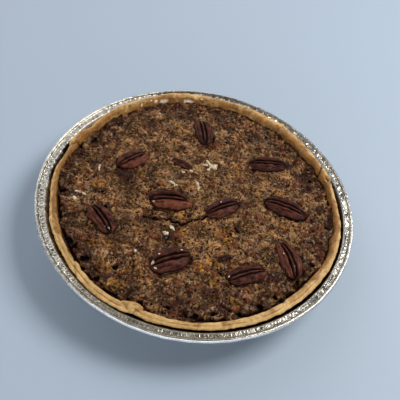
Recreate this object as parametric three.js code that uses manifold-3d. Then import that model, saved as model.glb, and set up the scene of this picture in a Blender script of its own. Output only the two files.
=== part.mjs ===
// A baked pecan pie in its own foil tin.
// Millimetres, +Z up. The origin is on the table, under the middle of the tin.
import * as THREE from 'three';
import { mergeVertices } from 'three/addons/utils/BufferGeometryUtils.js';
import Module from 'manifold-3d';

const wasm = await Module();
wasm.setup();

// ---------------------------------------------------------------- driving dimensions

const GAP = 0.3; // clearance between neighbouring pieces
const CUT_HEIGHT = 20; // height of a cutting shape, taller than anything it cuts
const SEED = 11;

// Foil tin
const TIN_RADIUS = 122; // to the outside of the rolled bead
const BEAD_RADIUS = 1.5;
const BEAD_HEIGHT = 28.7; // table to the middle of the bead
const BEAD_POINTS = 6; // corners round the bead's section
const BEAD_START = -115; // where its arc leaves the underside of the band, in degrees
const BEAD_END = 165; // where it comes down onto the top of the band
const BEAD_GROOVE = 0.7; // width of the groove along the inside of the bead
const BAND_INNER_RADIUS = 115.2; // where the sloping wall turns into the crimped band
const BAND_HEIGHT = 28.5; // top of the crimped band
const BAND_BEVEL = 0.4; // slanted edge between the wall and the band
const CRIMP_DEPTH = 0.25; // how far a crimp goes up and down
const TIN_FLOOR_RADIUS = 90;
const FLOOR_BEVEL = 2; // width of the slanted edge of the floor, which is half as high
const FOIL = 0.8; // wall thickness
const TIN_STEPS = 88;

// Pastry crust
const CRUST_RADIUS = 111.6; // mean outer edge of the folded rim
const RIM_WIDTH = 6.6;
const RIM_HEIGHT = 33.8; // mean height of the top of the rim
const RIM_RISE = 2; // the back of the rim stands this much higher, the front as much lower
const RIM_SHIFT = 2.2; // the baked rim sits nearer the front of the tin
const CRUST_FLOOR = 3.5; // thickness of the pastry under the filling
const CRUST_FLOOR_RADIUS = 87;
const SHOULDER_RADIUS = 106.3; // outer wall just below the rim
const SHOULDER_HEIGHT = 24;
const SHOULDER_FOLLOW = 0.3; // how much of the rim's swells the shoulder has
const CRUST_STEPS = 108;

// Filling
const FILLING_HEIGHT = 30; // where the filling meets the crust
const FILLING_DOME = 2.2; // how much higher its middle stands
const FILLING_RADIUS = 102.6; // mean radius where it meets the crust
const FILLING_SHIFT = 4; // the crust wall is thicker at the back than at the front
const FILLING_FLOOR_RADIUS = 84;
const FILLING_CELLS = 30; // facets across the top of the filling
const CALM_EDGE = 0.08; // share of the radius in which the crags die away at the crust
const CRAGS = [
  { spacing: 13, height: 0.6, offset: 0 },
  { spacing: 6, height: 0.5, offset: 40 },
];

// Pecan halves lying on the filling: middle, direction in degrees, and size
const PECAN_THICKNESS = 0.4; // of its width
const PECAN_SINK = 2.8; // how deep a half sits in the filling
const PECAN_SKIRT = 2.2; // upright side of a half, below its dome
const PECANS = [
  { x: -56, y: 20, turn: 46, length: 28, width: 18, bend: 0 },
  { x: -6, y: 66, turn: -74, length: 30, width: 16.5, bend: 0.5 },
  { x: 50.5, y: 43.3, turn: 10, length: 34, width: 17, bend: 0.8 },
  { x: -20, y: -14, turn: 9, length: 33, width: 20, bend: 1 },
  { x: 20, y: -12, turn: 36, length: 29, width: 17, bend: 0.6 },
  { x: 67.5, y: 1, turn: -13, length: 35, width: 18.5, bend: 1 },
  { x: -65, y: -41.5, turn: -47, length: 31, width: 16.5, bend: 1.2 },
  { x: -10, y: -65.5, turn: 30, length: 31, width: 20, bend: 0.6 },
  { x: 44, y: -65, turn: 29, length: 31, width: 15.5, bend: 0.8 },
  { x: 72.5, y: -45.5, turn: -66, length: 34, width: 17, bend: 1.8 },
];
const PECAN_CHIPS = [
  { x: -17, y: 25.5, turn: -22, length: 17, width: 7.5, bend: 0.4 },
];

// Pieces baked into the top of the filling: middle, direction in degrees, size and how far they stand out
const SUNKEN_PIECES = [
  { x: -51, y: 64, turn: 35, length: 13, width: 9, stand: 1.2 },
  { x: -58, y: 4, turn: 10, length: 15, width: 10, stand: 1.4 },
  { x: -37, y: 17, turn: 20, length: 12, width: 8, stand: 0.8 },
  { x: -50, y: -55, turn: 8, length: 18, width: 9, stand: 1.2 },
  { x: -33, y: -36, turn: 5, length: 12, width: 5, stand: 0.9 },
  { x: 21, y: -84, turn: -4, length: 14, width: 7, stand: 1.4 },
  { x: 62, y: -63, turn: 15, length: 9, width: 8, stand: 1 },
  { x: 27, y: -56, turn: 30, length: 13, width: 6, stand: 1.4 },
];
const NUT_BITS = [
  { x: 5, y: 29, turn: -20, length: 11, width: 6, stand: 1.8 },
  { x: -22, y: 4, turn: -10, length: 7, width: 4, stand: 1.3 },
  { x: -2, y: 6, turn: -60, length: 8, width: 4, stand: 1.3 },
  { x: -14, y: -38, turn: -45, length: 7.5, width: 4.5, stand: 1.8 },
  { x: -17, y: -44, turn: -35, length: 6.5, width: 4, stand: 1.4 },
  { x: -89, y: -27, turn: -25, length: 7, width: 3.6, stand: 1.4 },
  { x: -88, y: -21, turn: -15, length: 9, width: 3, stand: 1.2 },
  { x: -79, y: 6, turn: -80, length: 8, width: 2.6, stand: 1.2 },
];

// Hollows where the filling has sunk away: middle, radius and depth
const PITS = [
  { x: -88, y: -56, radius: 8, depth: 2.4 },
  { x: -68, y: -75, radius: 7, depth: 2.2 },
  { x: -58, y: -84, radius: 6, depth: 2 },
  { x: -30, y: -94, radius: 6, depth: 1.8 },
  { x: 10, y: -98, radius: 7, depth: 2.2 },
  { x: 55, y: -84, radius: 6, depth: 1.8 },
  { x: 96, y: -25, radius: 6, depth: 2 },
  { x: 85, y: 40, radius: 7, depth: 2.2 },
];

// Cracks in the baked top: the points of each, its width and depth
const CRACK_WIDTH = 1.4;
const CRACK_DEPTH = 2;
const CRACKS = [
  [[-36, -33], [-30, -32], [-20, -31.5], [-17, -29.5], [-11, -31.5], [-5, -32.5], [-1, -27], [7, -25],
    [11, -19]],
  [[-45, -22], [-36, -26], [-31, -26.5], [-30, -29]],
  [[35, -43], [40, -45.5], [48, -49]],
];

// ---------------------------------------------------------------- shape helpers

function bell(distance, halfWidth) {
  return Math.exp(-((distance / halfWidth) ** 2));
}

// The shorter way round between two directions, in degrees
function degreesBetween(a, b) {
  return ((a - b + 540) % 360) - 180;
}

function sumOfSwells(swells, degrees) {
  return swells.reduce((sum, s) => sum + s.out * bell(degreesBetween(degrees, s.at), s.half), 0);
}

// Repeatable number from 0 to 1 for a lattice corner
function cornerValue(i, j) {
  const s = Math.sin(i * 127.1 + j * 311.7 + SEED) * 43758.5453;
  return s - Math.floor(s);
}

// Smooth bumps from -1 to 1, about one lump to each unit
function lumps(x, y) {
  const i = Math.floor(x);
  const j = Math.floor(y);
  const fx = THREE.MathUtils.smoothstep(x - i, 0, 1);
  const fy = THREE.MathUtils.smoothstep(y - j, 0, 1);
  const low = THREE.MathUtils.lerp(cornerValue(i, j), cornerValue(i + 1, j), fx);
  const high = THREE.MathUtils.lerp(cornerValue(i, j + 1), cornerValue(i + 1, j + 1), fx);
  return 2 * THREE.MathUtils.lerp(low, high, fy) - 1;
}

// Moves every vertex: change(point, index) edits the point in place
function reshape(geometry, change) {
  const position = geometry.attributes.position;
  const point = new THREE.Vector3();
  for (let index = 0; index < position.count; index += 1) {
    point.fromBufferAttribute(position, index);
    change(point, index);
    position.setXYZ(index, point.x, point.y, point.z);
  }
  return geometry;
}

// Moves a point straight out from the axis, to another radius
function moveToRadius(point, radius) {
  const factor = radius / Math.max(Math.hypot(point.x, point.y), Number.EPSILON);
  point.x *= factor;
  point.y *= factor;
}

function directionOf(point) {
  return THREE.MathUtils.radToDeg(Math.atan2(point.y, point.x));
}

// A turned shape standing on z, from [radius, height] points
function turned(profile, steps) {
  const geometry = new THREE.LatheGeometry(profile.map(([r, z]) => new THREE.Vector2(r, z)), steps);
  return geometry.rotateX(Math.PI / 2);
}

// An upright cutting shape on a flat outline
function cutter(outline) {
  return new THREE.ExtrudeGeometry(new THREE.Shape(outline), { depth: CUT_HEIGHT, bevelEnabled: false });
}

// A closed mesh as a solid, its shared corners merged and its empty triangles left out
function toSolid(geometry) {
  const bare = geometry.index ? geometry.clone() : geometry;
  bare.deleteAttribute('normal');
  bare.deleteAttribute('uv');
  const merged = mergeVertices(bare);
  const corners = merged.index.array;
  const triangles = [];
  for (let t = 0; t < corners.length; t += 3) {
    const [a, b, c] = corners.slice(t, t + 3);
    if (a !== b && b !== c && c !== a) triangles.push(a, b, c);
  }
  return new wasm.Manifold(new wasm.Mesh({
    numProp: 3,
    vertProperties: new Float32Array(merged.attributes.position.array),
    triVerts: new Uint32Array(triangles),
  }));
}

function toGeometry(solid) {
  const mesh = solid.getMesh();
  const geometry = new THREE.BufferGeometry();
  geometry.setAttribute('position', new THREE.BufferAttribute(mesh.vertProperties, 3));
  geometry.setIndex(new THREE.BufferAttribute(mesh.triVerts, 1));
  geometry.computeVertexNormals();
  return geometry;
}

// ---------------------------------------------------------------- foil tin

// The section of the rolled bead, from the underside of the band round to its top
function beadArc() {
  return Array.from({ length: BEAD_POINTS }, (_, i) => {
    const degrees = THREE.MathUtils.lerp(BEAD_START, BEAD_END, i / (BEAD_POINTS - 1));
    const turn = THREE.MathUtils.degToRad(degrees);
    return [
      TIN_RADIUS - BEAD_RADIUS + BEAD_RADIUS * Math.cos(turn),
      BEAD_HEIGHT + BEAD_RADIUS * Math.sin(turn),
    ];
  });
}

function foilTin() {
  const bandEdge = TIN_RADIUS - 2 * BEAD_RADIUS;
  const underside = [
    [0, 0],
    [TIN_FLOOR_RADIUS - FLOOR_BEVEL, 0],
    [TIN_FLOOR_RADIUS, FLOOR_BEVEL / 2],
    [BAND_INNER_RADIUS - BAND_BEVEL, BAND_HEIGHT - FOIL - BAND_BEVEL],
    [BAND_INNER_RADIUS + BAND_BEVEL, BAND_HEIGHT - FOIL],
    [bandEdge, BAND_HEIGHT - FOIL],
  ];
  const bead = beadArc();
  const topside = [
    [bandEdge - BEAD_GROOVE, BAND_HEIGHT],
    [BAND_INNER_RADIUS, BAND_HEIGHT],
    [BAND_INNER_RADIUS - BAND_BEVEL - FOIL, BAND_HEIGHT - FOIL],
    [TIN_FLOOR_RADIUS - FOIL, FOIL + FLOOR_BEVEL / 2],
    [TIN_FLOOR_RADIUS - FOIL - FLOOR_BEVEL, FOIL],
    [0, FOIL],
  ];
  const profile = [...underside, ...bead, ...topside];
  const firstOnTop = underside.length + bead.length;
  const bandRows = [underside.length - 2, underside.length - 1, firstOnTop, firstOnTop + 1];
  return reshape(turned(profile, TIN_STEPS), (point, index) => {
    const column = Math.floor(index / profile.length);
    const row = index % profile.length;
    if (bandRows.includes(row)) point.z += column % 2 ? CRIMP_DEPTH : -CRIMP_DEPTH;
  });
}

// ---------------------------------------------------------------- pastry crust

// Where the hand-folded rim bulges out or is tucked in: direction and half-width in degrees
const OUTER_SWELLS = [
  { at: 10, half: 11, out: -2.2 },
  { at: 36, half: 9, out: -1.2 },
  { at: 56, half: 5, out: 1.6 },
  { at: 108, half: 14, out: 2.2 },
  { at: 155, half: 9, out: -3.4 },
  { at: 196, half: 7, out: -1.4 },
  { at: 243, half: 15, out: 1.7 },
  { at: 257, half: 2.5, out: -1 },
  { at: 338, half: 12, out: 0.5 },
];
const WIDTH_SWELLS = [
  { at: 24, half: 6, out: 1.8 },
  { at: 155, half: 6, out: -0.8 },
  { at: 167, half: 5, out: 1.2 },
  { at: 206, half: 6, out: 0.8 },
  { at: 255, half: 4.5, out: 2.2 },
  { at: 276, half: 14, out: -0.9 },
  { at: 325, half: 14, out: 1.8 },
  { at: 348, half: 4, out: 1.2 },
];
const WALL_SWELLS = [
  { at: 10, half: 12, out: -1 },
  { at: 110, half: 16, out: 2.4 },
  { at: 325, half: 14, out: -1.5 },
];
const HEIGHT_SWELLS = [
  { at: 24, half: 7, out: 0.7 },
  { at: 122, half: 26, out: 1.5 },
  { at: 166, half: 6, out: 0.8 },
  { at: 253, half: 6, out: 0.9 },
  { at: 349, half: 6, out: 0.8 },
];

// Slow waves along the top of the rim: how many go round, their height and where they start
const RIM_WAVES = [
  { count: 5, height: 0.25, start: 1 },
  { count: 11, height: 0.2, start: 0 },
];

// The groove along the fold is deep at the front and fades towards the back
const FOLD_GROOVE = { mean: 0.45, change: 0.75, least: 0.1, most: 1 };

function rimRadius(degrees) {
  const lean = RIM_SHIFT * Math.sin(THREE.MathUtils.degToRad(degrees));
  return CRUST_RADIUS - lean + sumOfSwells(OUTER_SWELLS, degrees);
}

function rimWidth(degrees) {
  return RIM_WIDTH + sumOfSwells(WIDTH_SWELLS, degrees);
}

function rimHeight(degrees) {
  const turn = THREE.MathUtils.degToRad(degrees);
  const waves = RIM_WAVES.reduce((sum, w) => sum + w.height * Math.sin(w.count * turn + w.start), 0);
  return RIM_HEIGHT + RIM_RISE * Math.sin(turn) + waves + sumOfSwells(HEIGHT_SWELLS, degrees);
}

function foldGroove(degrees) {
  const depth = FOLD_GROOVE.mean - FOLD_GROOVE.change * Math.sin(THREE.MathUtils.degToRad(degrees));
  return THREE.MathUtils.clamp(depth, FOLD_GROOVE.least, FOLD_GROOVE.most);
}

// Inner face of the crust wall at the height where the filling meets it
function wallRadius(degrees) {
  const lean = FILLING_SHIFT * Math.sin(THREE.MathUtils.degToRad(degrees));
  return FILLING_RADIUS - lean + sumOfSwells(WALL_SWELLS, degrees);
}

// Points across the rim, from under its outer lip to its inner edge:
// share of its width, drop below its top, and how much of the fold's groove each has
const RIM_SECTION = [
  { across: 0.3, drop: 4.2, groove: 0 },
  { across: 0.01, drop: 3.1, groove: 0 },
  { across: 0.06, drop: 1.3, groove: 0.5 },
  { across: 0.34, drop: 0.7, groove: 1.1 },
  { across: 0.5, drop: 0.3, groove: 0.2 },
  { across: 0.68, drop: 0, groove: 0 },
  { across: 0.88, drop: 0.5, groove: 0 },
  { across: 1, drop: 1.8, groove: 0 },
];

function pastryCrust() {
  const base = FOIL + GAP;
  const outerWall = [
    [0, base],
    [CRUST_FLOOR_RADIUS, base],
    [SHOULDER_RADIUS, SHOULDER_HEIGHT],
  ];
  const innerWall = [
    [FILLING_RADIUS, FILLING_HEIGHT],
    [FILLING_FLOOR_RADIUS, base + CRUST_FLOOR],
    [0, base + CRUST_FLOOR],
  ];
  const rim = RIM_SECTION.map((p) => [CRUST_RADIUS - p.across * RIM_WIDTH, RIM_HEIGHT - p.drop]);
  const profile = [...outerWall, ...rim, ...innerWall];
  const shoulderRow = outerWall.length - 1;
  const fillingRow = outerWall.length + rim.length;
  return reshape(turned(profile, CRUST_STEPS), (point, index) => {
    const row = index % profile.length;
    const degrees = directionOf(point);
    const section = RIM_SECTION[row - outerWall.length];
    if (section) {
      moveToRadius(point, rimRadius(degrees) - section.across * rimWidth(degrees));
      point.z = rimHeight(degrees) - section.drop - section.groove * foldGroove(degrees);
    } else if (row === shoulderRow) {
      moveToRadius(point, SHOULDER_RADIUS + SHOULDER_FOLLOW * (rimRadius(degrees) - CRUST_RADIUS));
    } else if (row === fillingRow) {
      moveToRadius(point, wallRadius(degrees));
    }
  });
}

// ---------------------------------------------------------------- filling

const LUMP_DETAIL = 1; // subdivisions of a sunken piece
const BIT_DETAIL = 0; // and of a small bit of nut

// The level of the filling without its crags
function fillingLevel(x, y) {
  const outwards = Math.min(Math.hypot(x, y) / FILLING_RADIUS, 1);
  return FILLING_HEIGHT + FILLING_DOME * (1 - outwards ** 2);
}

function fillingTop(x, y) {
  const outwards = Math.hypot(x, y) / FILLING_RADIUS;
  const inside = THREE.MathUtils.smoothstep(1 - outwards, 0, CALM_EDGE);
  const crags = CRAGS.reduce(
    (sum, c) => sum + c.height * lumps(x / c.spacing + c.offset, y / c.spacing),
    0,
  );
  const pits = PITS.reduce((sum, p) => sum + p.depth * bell(Math.hypot(x - p.x, y - p.y), p.radius), 0);
  return fillingLevel(x, y) + inside * (crags - pits);
}

// A square of side 2 drawn out into a round of radius 1
function squareToRound(x, y) {
  return [x * Math.sqrt(1 - (y * y) / 2), y * Math.sqrt(1 - (x * x) / 2)];
}

// The room inside the crust less the clearance, carried on above the level of the filling
function crustHollow() {
  const base = FOIL + CRUST_FLOOR + 2 * GAP;
  const slope = (FILLING_RADIUS - FILLING_FLOOR_RADIUS) / (FILLING_HEIGHT - base);
  const clearance = GAP * Math.hypot(1, slope); // sideways, so that it is GAP square to the wall
  const profile = [
    [0, base],
    [FILLING_FLOOR_RADIUS - clearance, base],
    [FILLING_RADIUS - clearance, FILLING_HEIGHT],
    [FILLING_RADIUS - clearance, FILLING_HEIGHT + CUT_HEIGHT],
    [0, FILLING_HEIGHT + CUT_HEIGHT],
  ];
  const followsWall = [2, 3];
  return reshape(turned(profile, CRUST_STEPS), (point, index) => {
    if (!followsWall.includes(index % profile.length)) return;
    moveToRadius(point, wallRadius(directionOf(point)) - clearance);
  });
}

// A block whose top has the crags of the filling, wider and deeper than the crust's hollow
function craggyBlock() {
  const reach = FILLING_RADIUS + FILLING_SHIFT + 1;
  const block = new THREE.BoxGeometry(2, 2, 2, FILLING_CELLS, FILLING_CELLS, 1);
  return reshape(block, (point) => {
    const onTop = point.z > 0;
    const [x, y] = squareToRound(point.x, point.y);
    point.x = x * reach;
    point.y = y * reach;
    point.z = onTop ? fillingTop(point.x, point.y) : 0;
  });
}

// A lump of nut baked into the filling: as much as it stands out, three times as much is below
function bakedIn(piece, detail) {
  const geometry = new THREE.IcosahedronGeometry(1, detail);
  geometry.scale(piece.length / 2, piece.width / 2, 2 * piece.stand);
  geometry.rotateZ(THREE.MathUtils.degToRad(piece.turn));
  return geometry.translate(piece.x, piece.y, fillingTop(piece.x, piece.y) - piece.stand);
}

// A narrow slot along a crack, pointed at both ends
function crackSlot(points) {
  const line = points.map(([x, y]) => new THREE.Vector2(x, y));
  const side = (sign) => line.map((p, i) => {
    const along = line[Math.min(i + 1, line.length - 1)].clone().sub(line[Math.max(i - 1, 0)]).normalize();
    const atEnd = i === 0 || i === line.length - 1;
    return new THREE.Vector2(-along.y, along.x).multiplyScalar(atEnd ? 0 : (sign * CRACK_WIDTH) / 2).add(p);
  });
  const outline = [...side(-1), ...side(1).slice(1, -1).reverse()];
  const level = fillingLevel(line[0].x, line[0].y);
  return cutter(outline).translate(0, 0, level - CRACK_DEPTH);
}

function pecanFilling() {
  let solid = toSolid(craggyBlock()).intersect(toSolid(crustHollow()));
  for (const piece of SUNKEN_PIECES) solid = solid.add(toSolid(bakedIn(piece, LUMP_DETAIL)));
  for (const piece of NUT_BITS) solid = solid.add(toSolid(bakedIn(piece, BIT_DETAIL)));
  for (const points of CRACKS) solid = solid.subtract(toSolid(crackSlot(points)));
  for (const nut of [...PECANS, ...PECAN_CHIPS]) solid = solid.subtract(toSolid(pecanSocket(nut)));
  return toGeometry(solid);
}

// ---------------------------------------------------------------- pecan halves

const PECAN_AROUND = 16; // facets round a nut
const PECAN_ALONG = 9; // and along it
const END_BLUNTNESS = 0.38; // 0.5 would be an ellipse seen from above
const END_SLOPE = 0.7; // how its top comes down towards the ends
const DOME_SQUARENESS = 2.6; // 2 would be a round section
const DOME_FULLNESS = 0.6;
const LOBE_GROOVE = { middle: 0.27, half: 0.1, depth: 0.36 };
const RIDGE_DROP = 0.06; // the middle ridge is a little lower than the lobes
const CROWDING = 1.35; // draws the facets together over the ridge
const TIP_HEIGHT = 0.6; // of the skirt, where the ends come to a point
const SOCKET_STEPS = 7; // along each side of a socket
const SOCKET_GAP = 0.45; // wider than the gap, as its outline has fewer corners than the nut

// Half the width of a nut at a place along it, from -1 to 1
function pecanHalfWidth(nut, along) {
  return (nut.width / 2) * (1 - along ** 2) ** END_BLUNTNESS;
}

// The curve of a nut that isn't straight
function pecanBend(nut, along) {
  return nut.bend * (1 - along ** 2) - nut.bend / 2;
}

// Height of the dome across a nut: two lobes, two grooves and the ridge between them
function pecanDome(across) {
  const dome = (1 - Math.abs(across) ** DOME_SQUARENESS) ** DOME_FULLNESS;
  const groove = LOBE_GROOVE.depth * bell(Math.abs(across) - LOBE_GROOVE.middle, LOBE_GROOVE.half);
  return dome * (1 - groove) - RIDGE_DROP * bell(across, LOBE_GROOVE.half);
}

// A ball drawn out into a nut: flat below, with an upright skirt and a grooved dome above
function pecanHalf(nut) {
  const rise = nut.width * PECAN_THICKNESS - PECAN_SKIRT;
  const nearlyNothing = 0.01;
  const ball = new THREE.SphereGeometry(1, PECAN_AROUND, PECAN_ALONG).rotateZ(Math.PI / 2);
  return reshape(ball, (point) => {
    const along = THREE.MathUtils.clamp(point.x, -1, 1);
    const round = Math.sqrt(1 - along ** 2);
    const atTip = round < nearlyNothing;
    const sideways = atTip ? 0 : THREE.MathUtils.clamp(point.y / round, -1, 1);
    const below = point.z < -nearlyNothing * round;
    const across = Math.sign(sideways) * Math.abs(sideways) ** CROWDING;
    point.x = (along * nut.length) / 2;
    point.y = across * pecanHalfWidth(nut, along) + pecanBend(nut, along);
    if (atTip) point.z = TIP_HEIGHT * PECAN_SKIRT;
    else if (below) point.z = 0;
    else point.z = PECAN_SKIRT + rise * round ** END_SLOPE * pecanDome(across);
  });
}

// How a nut lies: its underside below the level of the filling
function placeNut(nut, object) {
  object.position.set(nut.x, nut.y, fillingLevel(nut.x, nut.y) - PECAN_SINK);
  object.rotation.z = THREE.MathUtils.degToRad(nut.turn);
  object.updateMatrix();
  return object;
}

// The hole in the filling that a nut sits in, open upwards
function pecanSocket(nut) {
  const outline = [];
  for (const sign of [-1, 1]) {
    for (let i = 0; i < SOCKET_STEPS; i += 1) {
      const along = sign * Math.cos((Math.PI * i) / SOCKET_STEPS);
      const x = along * (nut.length / 2 + SOCKET_GAP);
      const y = pecanBend(nut, along) - sign * (pecanHalfWidth(nut, along) + SOCKET_GAP);
      outline.push(new THREE.Vector2(-x, y));
    }
  }
  return cutter(outline).translate(0, 0, -GAP).applyMatrix4(placeNut(nut, new THREE.Object3D()).matrix);
}

// ---------------------------------------------------------------- assembly

const FOIL_FINISH = { color: 0xc9cbca, roughness: 0.32, metalness: 1 };
const PASTRY_FINISH = { color: 0xc79e62, roughness: 0.55, metalness: 0 };
const FILLING_FINISH = { color: 0x6b4a2e, roughness: 0.6, metalness: 0 };
const PECAN_FINISH = { color: 0x4a2620, roughness: 0.4, metalness: 0 };

const pie = new THREE.Group();

function addPiece(name, geometry, finish) {
  const mesh = new THREE.Mesh(geometry, new THREE.MeshStandardMaterial(finish));
  mesh.name = name;
  pie.add(mesh);
  return mesh;
}

function addNuts(name, nuts) {
  nuts.forEach((nut, i) => {
    const number = String(i + 1).padStart(2, '0');
    placeNut(nut, addPiece(`${name}_${number}`, pecanHalf(nut), PECAN_FINISH));
  });
}

addPiece('foil_tin', foilTin(), FOIL_FINISH);
addPiece('pastry_crust', pastryCrust(), PASTRY_FINISH);
addPiece('pecan_filling', pecanFilling(), FILLING_FINISH);
addNuts('pecan_half', PECANS);
addNuts('pecan_chip', PECAN_CHIPS);

export default pie;
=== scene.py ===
# %% [markdown]
# # A pecan pie in its own foil tin
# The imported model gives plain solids: a tin, a pastry shell, a round of filling and the nuts on it.
# Here each of them gets the surface that baking gives it. The solids say where everything is and how
# large it is, so every shape below starts from the same few sizes, in millimetres, and ends in metres.

# %% Load the solids
import itertools
import math

import bmesh
import bpy
import numpy as np
from mathutils import Matrix, Vector


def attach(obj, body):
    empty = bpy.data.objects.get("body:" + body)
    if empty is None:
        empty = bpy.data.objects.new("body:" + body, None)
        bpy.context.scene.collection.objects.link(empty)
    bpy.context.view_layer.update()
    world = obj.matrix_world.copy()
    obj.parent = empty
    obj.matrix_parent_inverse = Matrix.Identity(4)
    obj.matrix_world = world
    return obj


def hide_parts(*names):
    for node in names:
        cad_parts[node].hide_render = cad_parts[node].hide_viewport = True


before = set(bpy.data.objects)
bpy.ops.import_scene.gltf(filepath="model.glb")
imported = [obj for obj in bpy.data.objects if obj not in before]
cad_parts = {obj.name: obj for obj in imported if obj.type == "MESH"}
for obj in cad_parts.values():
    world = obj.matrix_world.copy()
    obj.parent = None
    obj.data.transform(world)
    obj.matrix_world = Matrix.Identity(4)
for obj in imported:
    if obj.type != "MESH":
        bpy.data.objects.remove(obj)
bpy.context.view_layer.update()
MM = 0.001
print("solids:", ", ".join(sorted(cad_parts)))

# %% [markdown]
# ## The camera
# It looks down at 50 degrees from close by, so the far side of the pie is clearly smaller than the near
# side. It is also rolled a little, as when a camera is held in one hand. A camera looks along its own -Z
# with +Y up, so it is tipped about X first, and the roll is a turn about its own Z.

# %% Camera
CAMERA_PLACE = Vector((2.19, -273.93, 351.26))
CAMERA_ELEVATION = 50.17
CAMERA_ROLL = 11.106
CAMERA_LENS = 49.45
SENSOR_WIDTH = 36

camera_data = bpy.data.cameras.new("camera")
camera_data.lens = CAMERA_LENS
camera_data.sensor_width = SENSOR_WIDTH
camera = bpy.data.objects.new("camera", camera_data)
bpy.context.scene.collection.objects.link(camera)
tip = Matrix.Rotation(math.radians(90 - CAMERA_ELEVATION), 4, "X")
roll = Matrix.Rotation(math.radians(CAMERA_ROLL), 4, "Z")
camera.matrix_world = Matrix.Translation(CAMERA_PLACE * MM) @ tip @ roll
bpy.context.scene.camera = camera
bpy.context.scene.view_settings.view_transform = "Standard"
print("camera", [round(v, 3) for v in camera.matrix_world.translation])

# %% [markdown]
# ## Small tools for shapes
# `bell` is a smooth hump, `smooth` a soft step, `towards` picks out one side of a round thing and
# `wobble` is smooth noise. They work on one number or on an array with a number for each point of a
# mesh, which is how a whole surface is shaped at once. Directions are in degrees from +X round to +Y,
# so the front of the pie is at 270.

# %% Humps and steps


def bell(distance, half_width):
    return np.exp(-((distance / half_width) ** 2))


def smooth(low, high, value):
    t = np.clip((value - low) / (high - low), 0, 1)
    return t * t * (3 - 2 * t)


def turn_between(a, b):
    return (a - b + 540) % 360 - 180


def towards(degrees, at, far, near):
    """1 where the direction is near to another, and 0 where it is far from it."""
    return smooth(far, near, abs(turn_between(degrees, at)))


def swells(humps, degrees):
    """The sum of humps round the rim, each (direction, half-width in degrees, height)."""
    return sum(height * bell(turn_between(degrees, at), half) for at, half, height in humps)


print("a hump one half-width out:", round(float(bell(1, 1)), 3))

# %% [markdown]
# Noise needs a number for each corner of a grid that looks random but is the same in every run. The
# fraction of a large sine gives one. `wobble` gives each corner a slope of its own and blends them,
# and `cells` scatters one point in each square and measures to the nearest two, as cracked mud does.

# %% Noise


def chance(i, j, k, seed):
    """A number from 0 to 1 that belongs to one corner of a grid."""
    s = np.sin(i * 127.1 + j * 311.7 + k * 74.7 + seed * 53.3) * 43758.5453
    return s - np.floor(s)


def wobble(x, y, z, size, seed):
    """Smooth noise of about -1 to 1, with bumps of a given size."""
    x, y, z = np.broadcast_arrays(np.divide(x, size), np.divide(y, size), np.divide(z, size))
    i, j, k = np.floor(x), np.floor(y), np.floor(z)
    total = 0
    for di, dj, dk in itertools.product((0, 1), repeat=3):
        dx, dy, dz = x - i - di, y - j - dj, z - k - dk
        turn = math.tau * chance(i + di, j + dj, k + dk, seed)
        lift = 2 * chance(i + di, j + dj, k + dk, seed + 1) - 1
        flat = np.sqrt(1 - lift**2)
        slope = np.cos(turn) * flat * dx + np.sin(turn) * flat * dy + lift * dz
        total = total + slope * smooth(1, 0, abs(dx)) * smooth(1, 0, abs(dy)) * smooth(1, 0, abs(dz))
    return 1.7 * total


def cells(x, y, size, seed):
    """A number for the nearest scattered point, how far off it is and how much further the next is."""
    x, y = np.divide(x, size), np.divide(y, size)
    i, j = np.floor(x), np.floor(y)
    near = np.full(x.shape, 9.0)
    after = near.copy()
    own = np.zeros(x.shape)
    for di, dj in itertools.product((-1, 0, 1), repeat=2):
        ci, cj = i + di, j + dj
        away = np.hypot(ci + chance(ci, cj, 0, seed) - x, cj + chance(ci, cj, 1, seed) - y)
        closer = away < near
        after = np.where(closer, near, np.minimum(after, away))
        own = np.where(closer, chance(ci, cj, 2, seed), own)
        near = np.where(closer, away, near)
    return own, near, after - near


print("noise at one place:", round(float(wobble(3.3, 4.4, 0.0, 2.0, 5)), 3))

# %% [markdown]
# ## From a bmesh to a piece
# Mesh operators make the rough form. Its points are then read as three arrays, moved by formula and
# written back. A mask is a number kept for each point, such as how brown it is, which a material reads.

# %% Piece tools


def as_mesh(name, bm):
    mesh = bpy.data.meshes.new(name)
    bm.to_mesh(mesh)
    bm.free()
    return mesh


def rounded(mesh, levels):
    """A finer mesh, rounded as a Subdivision Surface rounds it."""
    cage = bpy.data.objects.new("cage", mesh)
    bpy.context.scene.collection.objects.link(cage)
    rounding = cage.modifiers.new("rounding", "SUBSURF")
    rounding.levels = rounding.render_levels = levels
    fine = bpy.data.meshes.new_from_object(cage.evaluated_get(bpy.context.evaluated_depsgraph_get()))
    bpy.data.objects.remove(cage)
    return fine


def points_of(mesh):
    flat = np.empty(3 * len(mesh.vertices), dtype=np.float32)
    mesh.vertices.foreach_get("co", flat)
    return flat.reshape(-1, 3).T.astype(float)


def normals_of(mesh):
    flat = np.empty(3 * len(mesh.vertices), dtype=np.float32)
    mesh.vertex_normals.foreach_get("vector", flat)
    return flat.reshape(-1, 3).T.astype(float)


def move_points(mesh, x, y, z):
    mesh.vertices.foreach_set("co", np.stack((x, y, z), axis=1).astype(np.float32).ravel())
    mesh.update()


def keep_masks(mesh, **masks):
    for name, values in masks.items():
        layer = mesh.attributes.new(name, "FLOAT", "POINT")
        layer.data.foreach_set("value", np.broadcast_to(values, len(mesh.vertices)).astype(np.float32))


def finish_piece(mesh, finish, slot, *nodes):
    """Turns millimetres into metres, and makes a piece that rides on the pie and stands for nodes."""
    mesh.transform(Matrix.Scale(MM, 4))
    mesh.shade_smooth()
    mesh.materials.clear()
    mesh.materials.append(finish.material)
    piece = bpy.data.objects.new(mesh.name, mesh)
    bpy.context.scene.collection.objects.link(piece)
    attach(piece, "root")
    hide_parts(*nodes)
    print(mesh.name, sum(len(p.vertices) - 2 for p in mesh.polygons), "triangles")
    return piece


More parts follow.
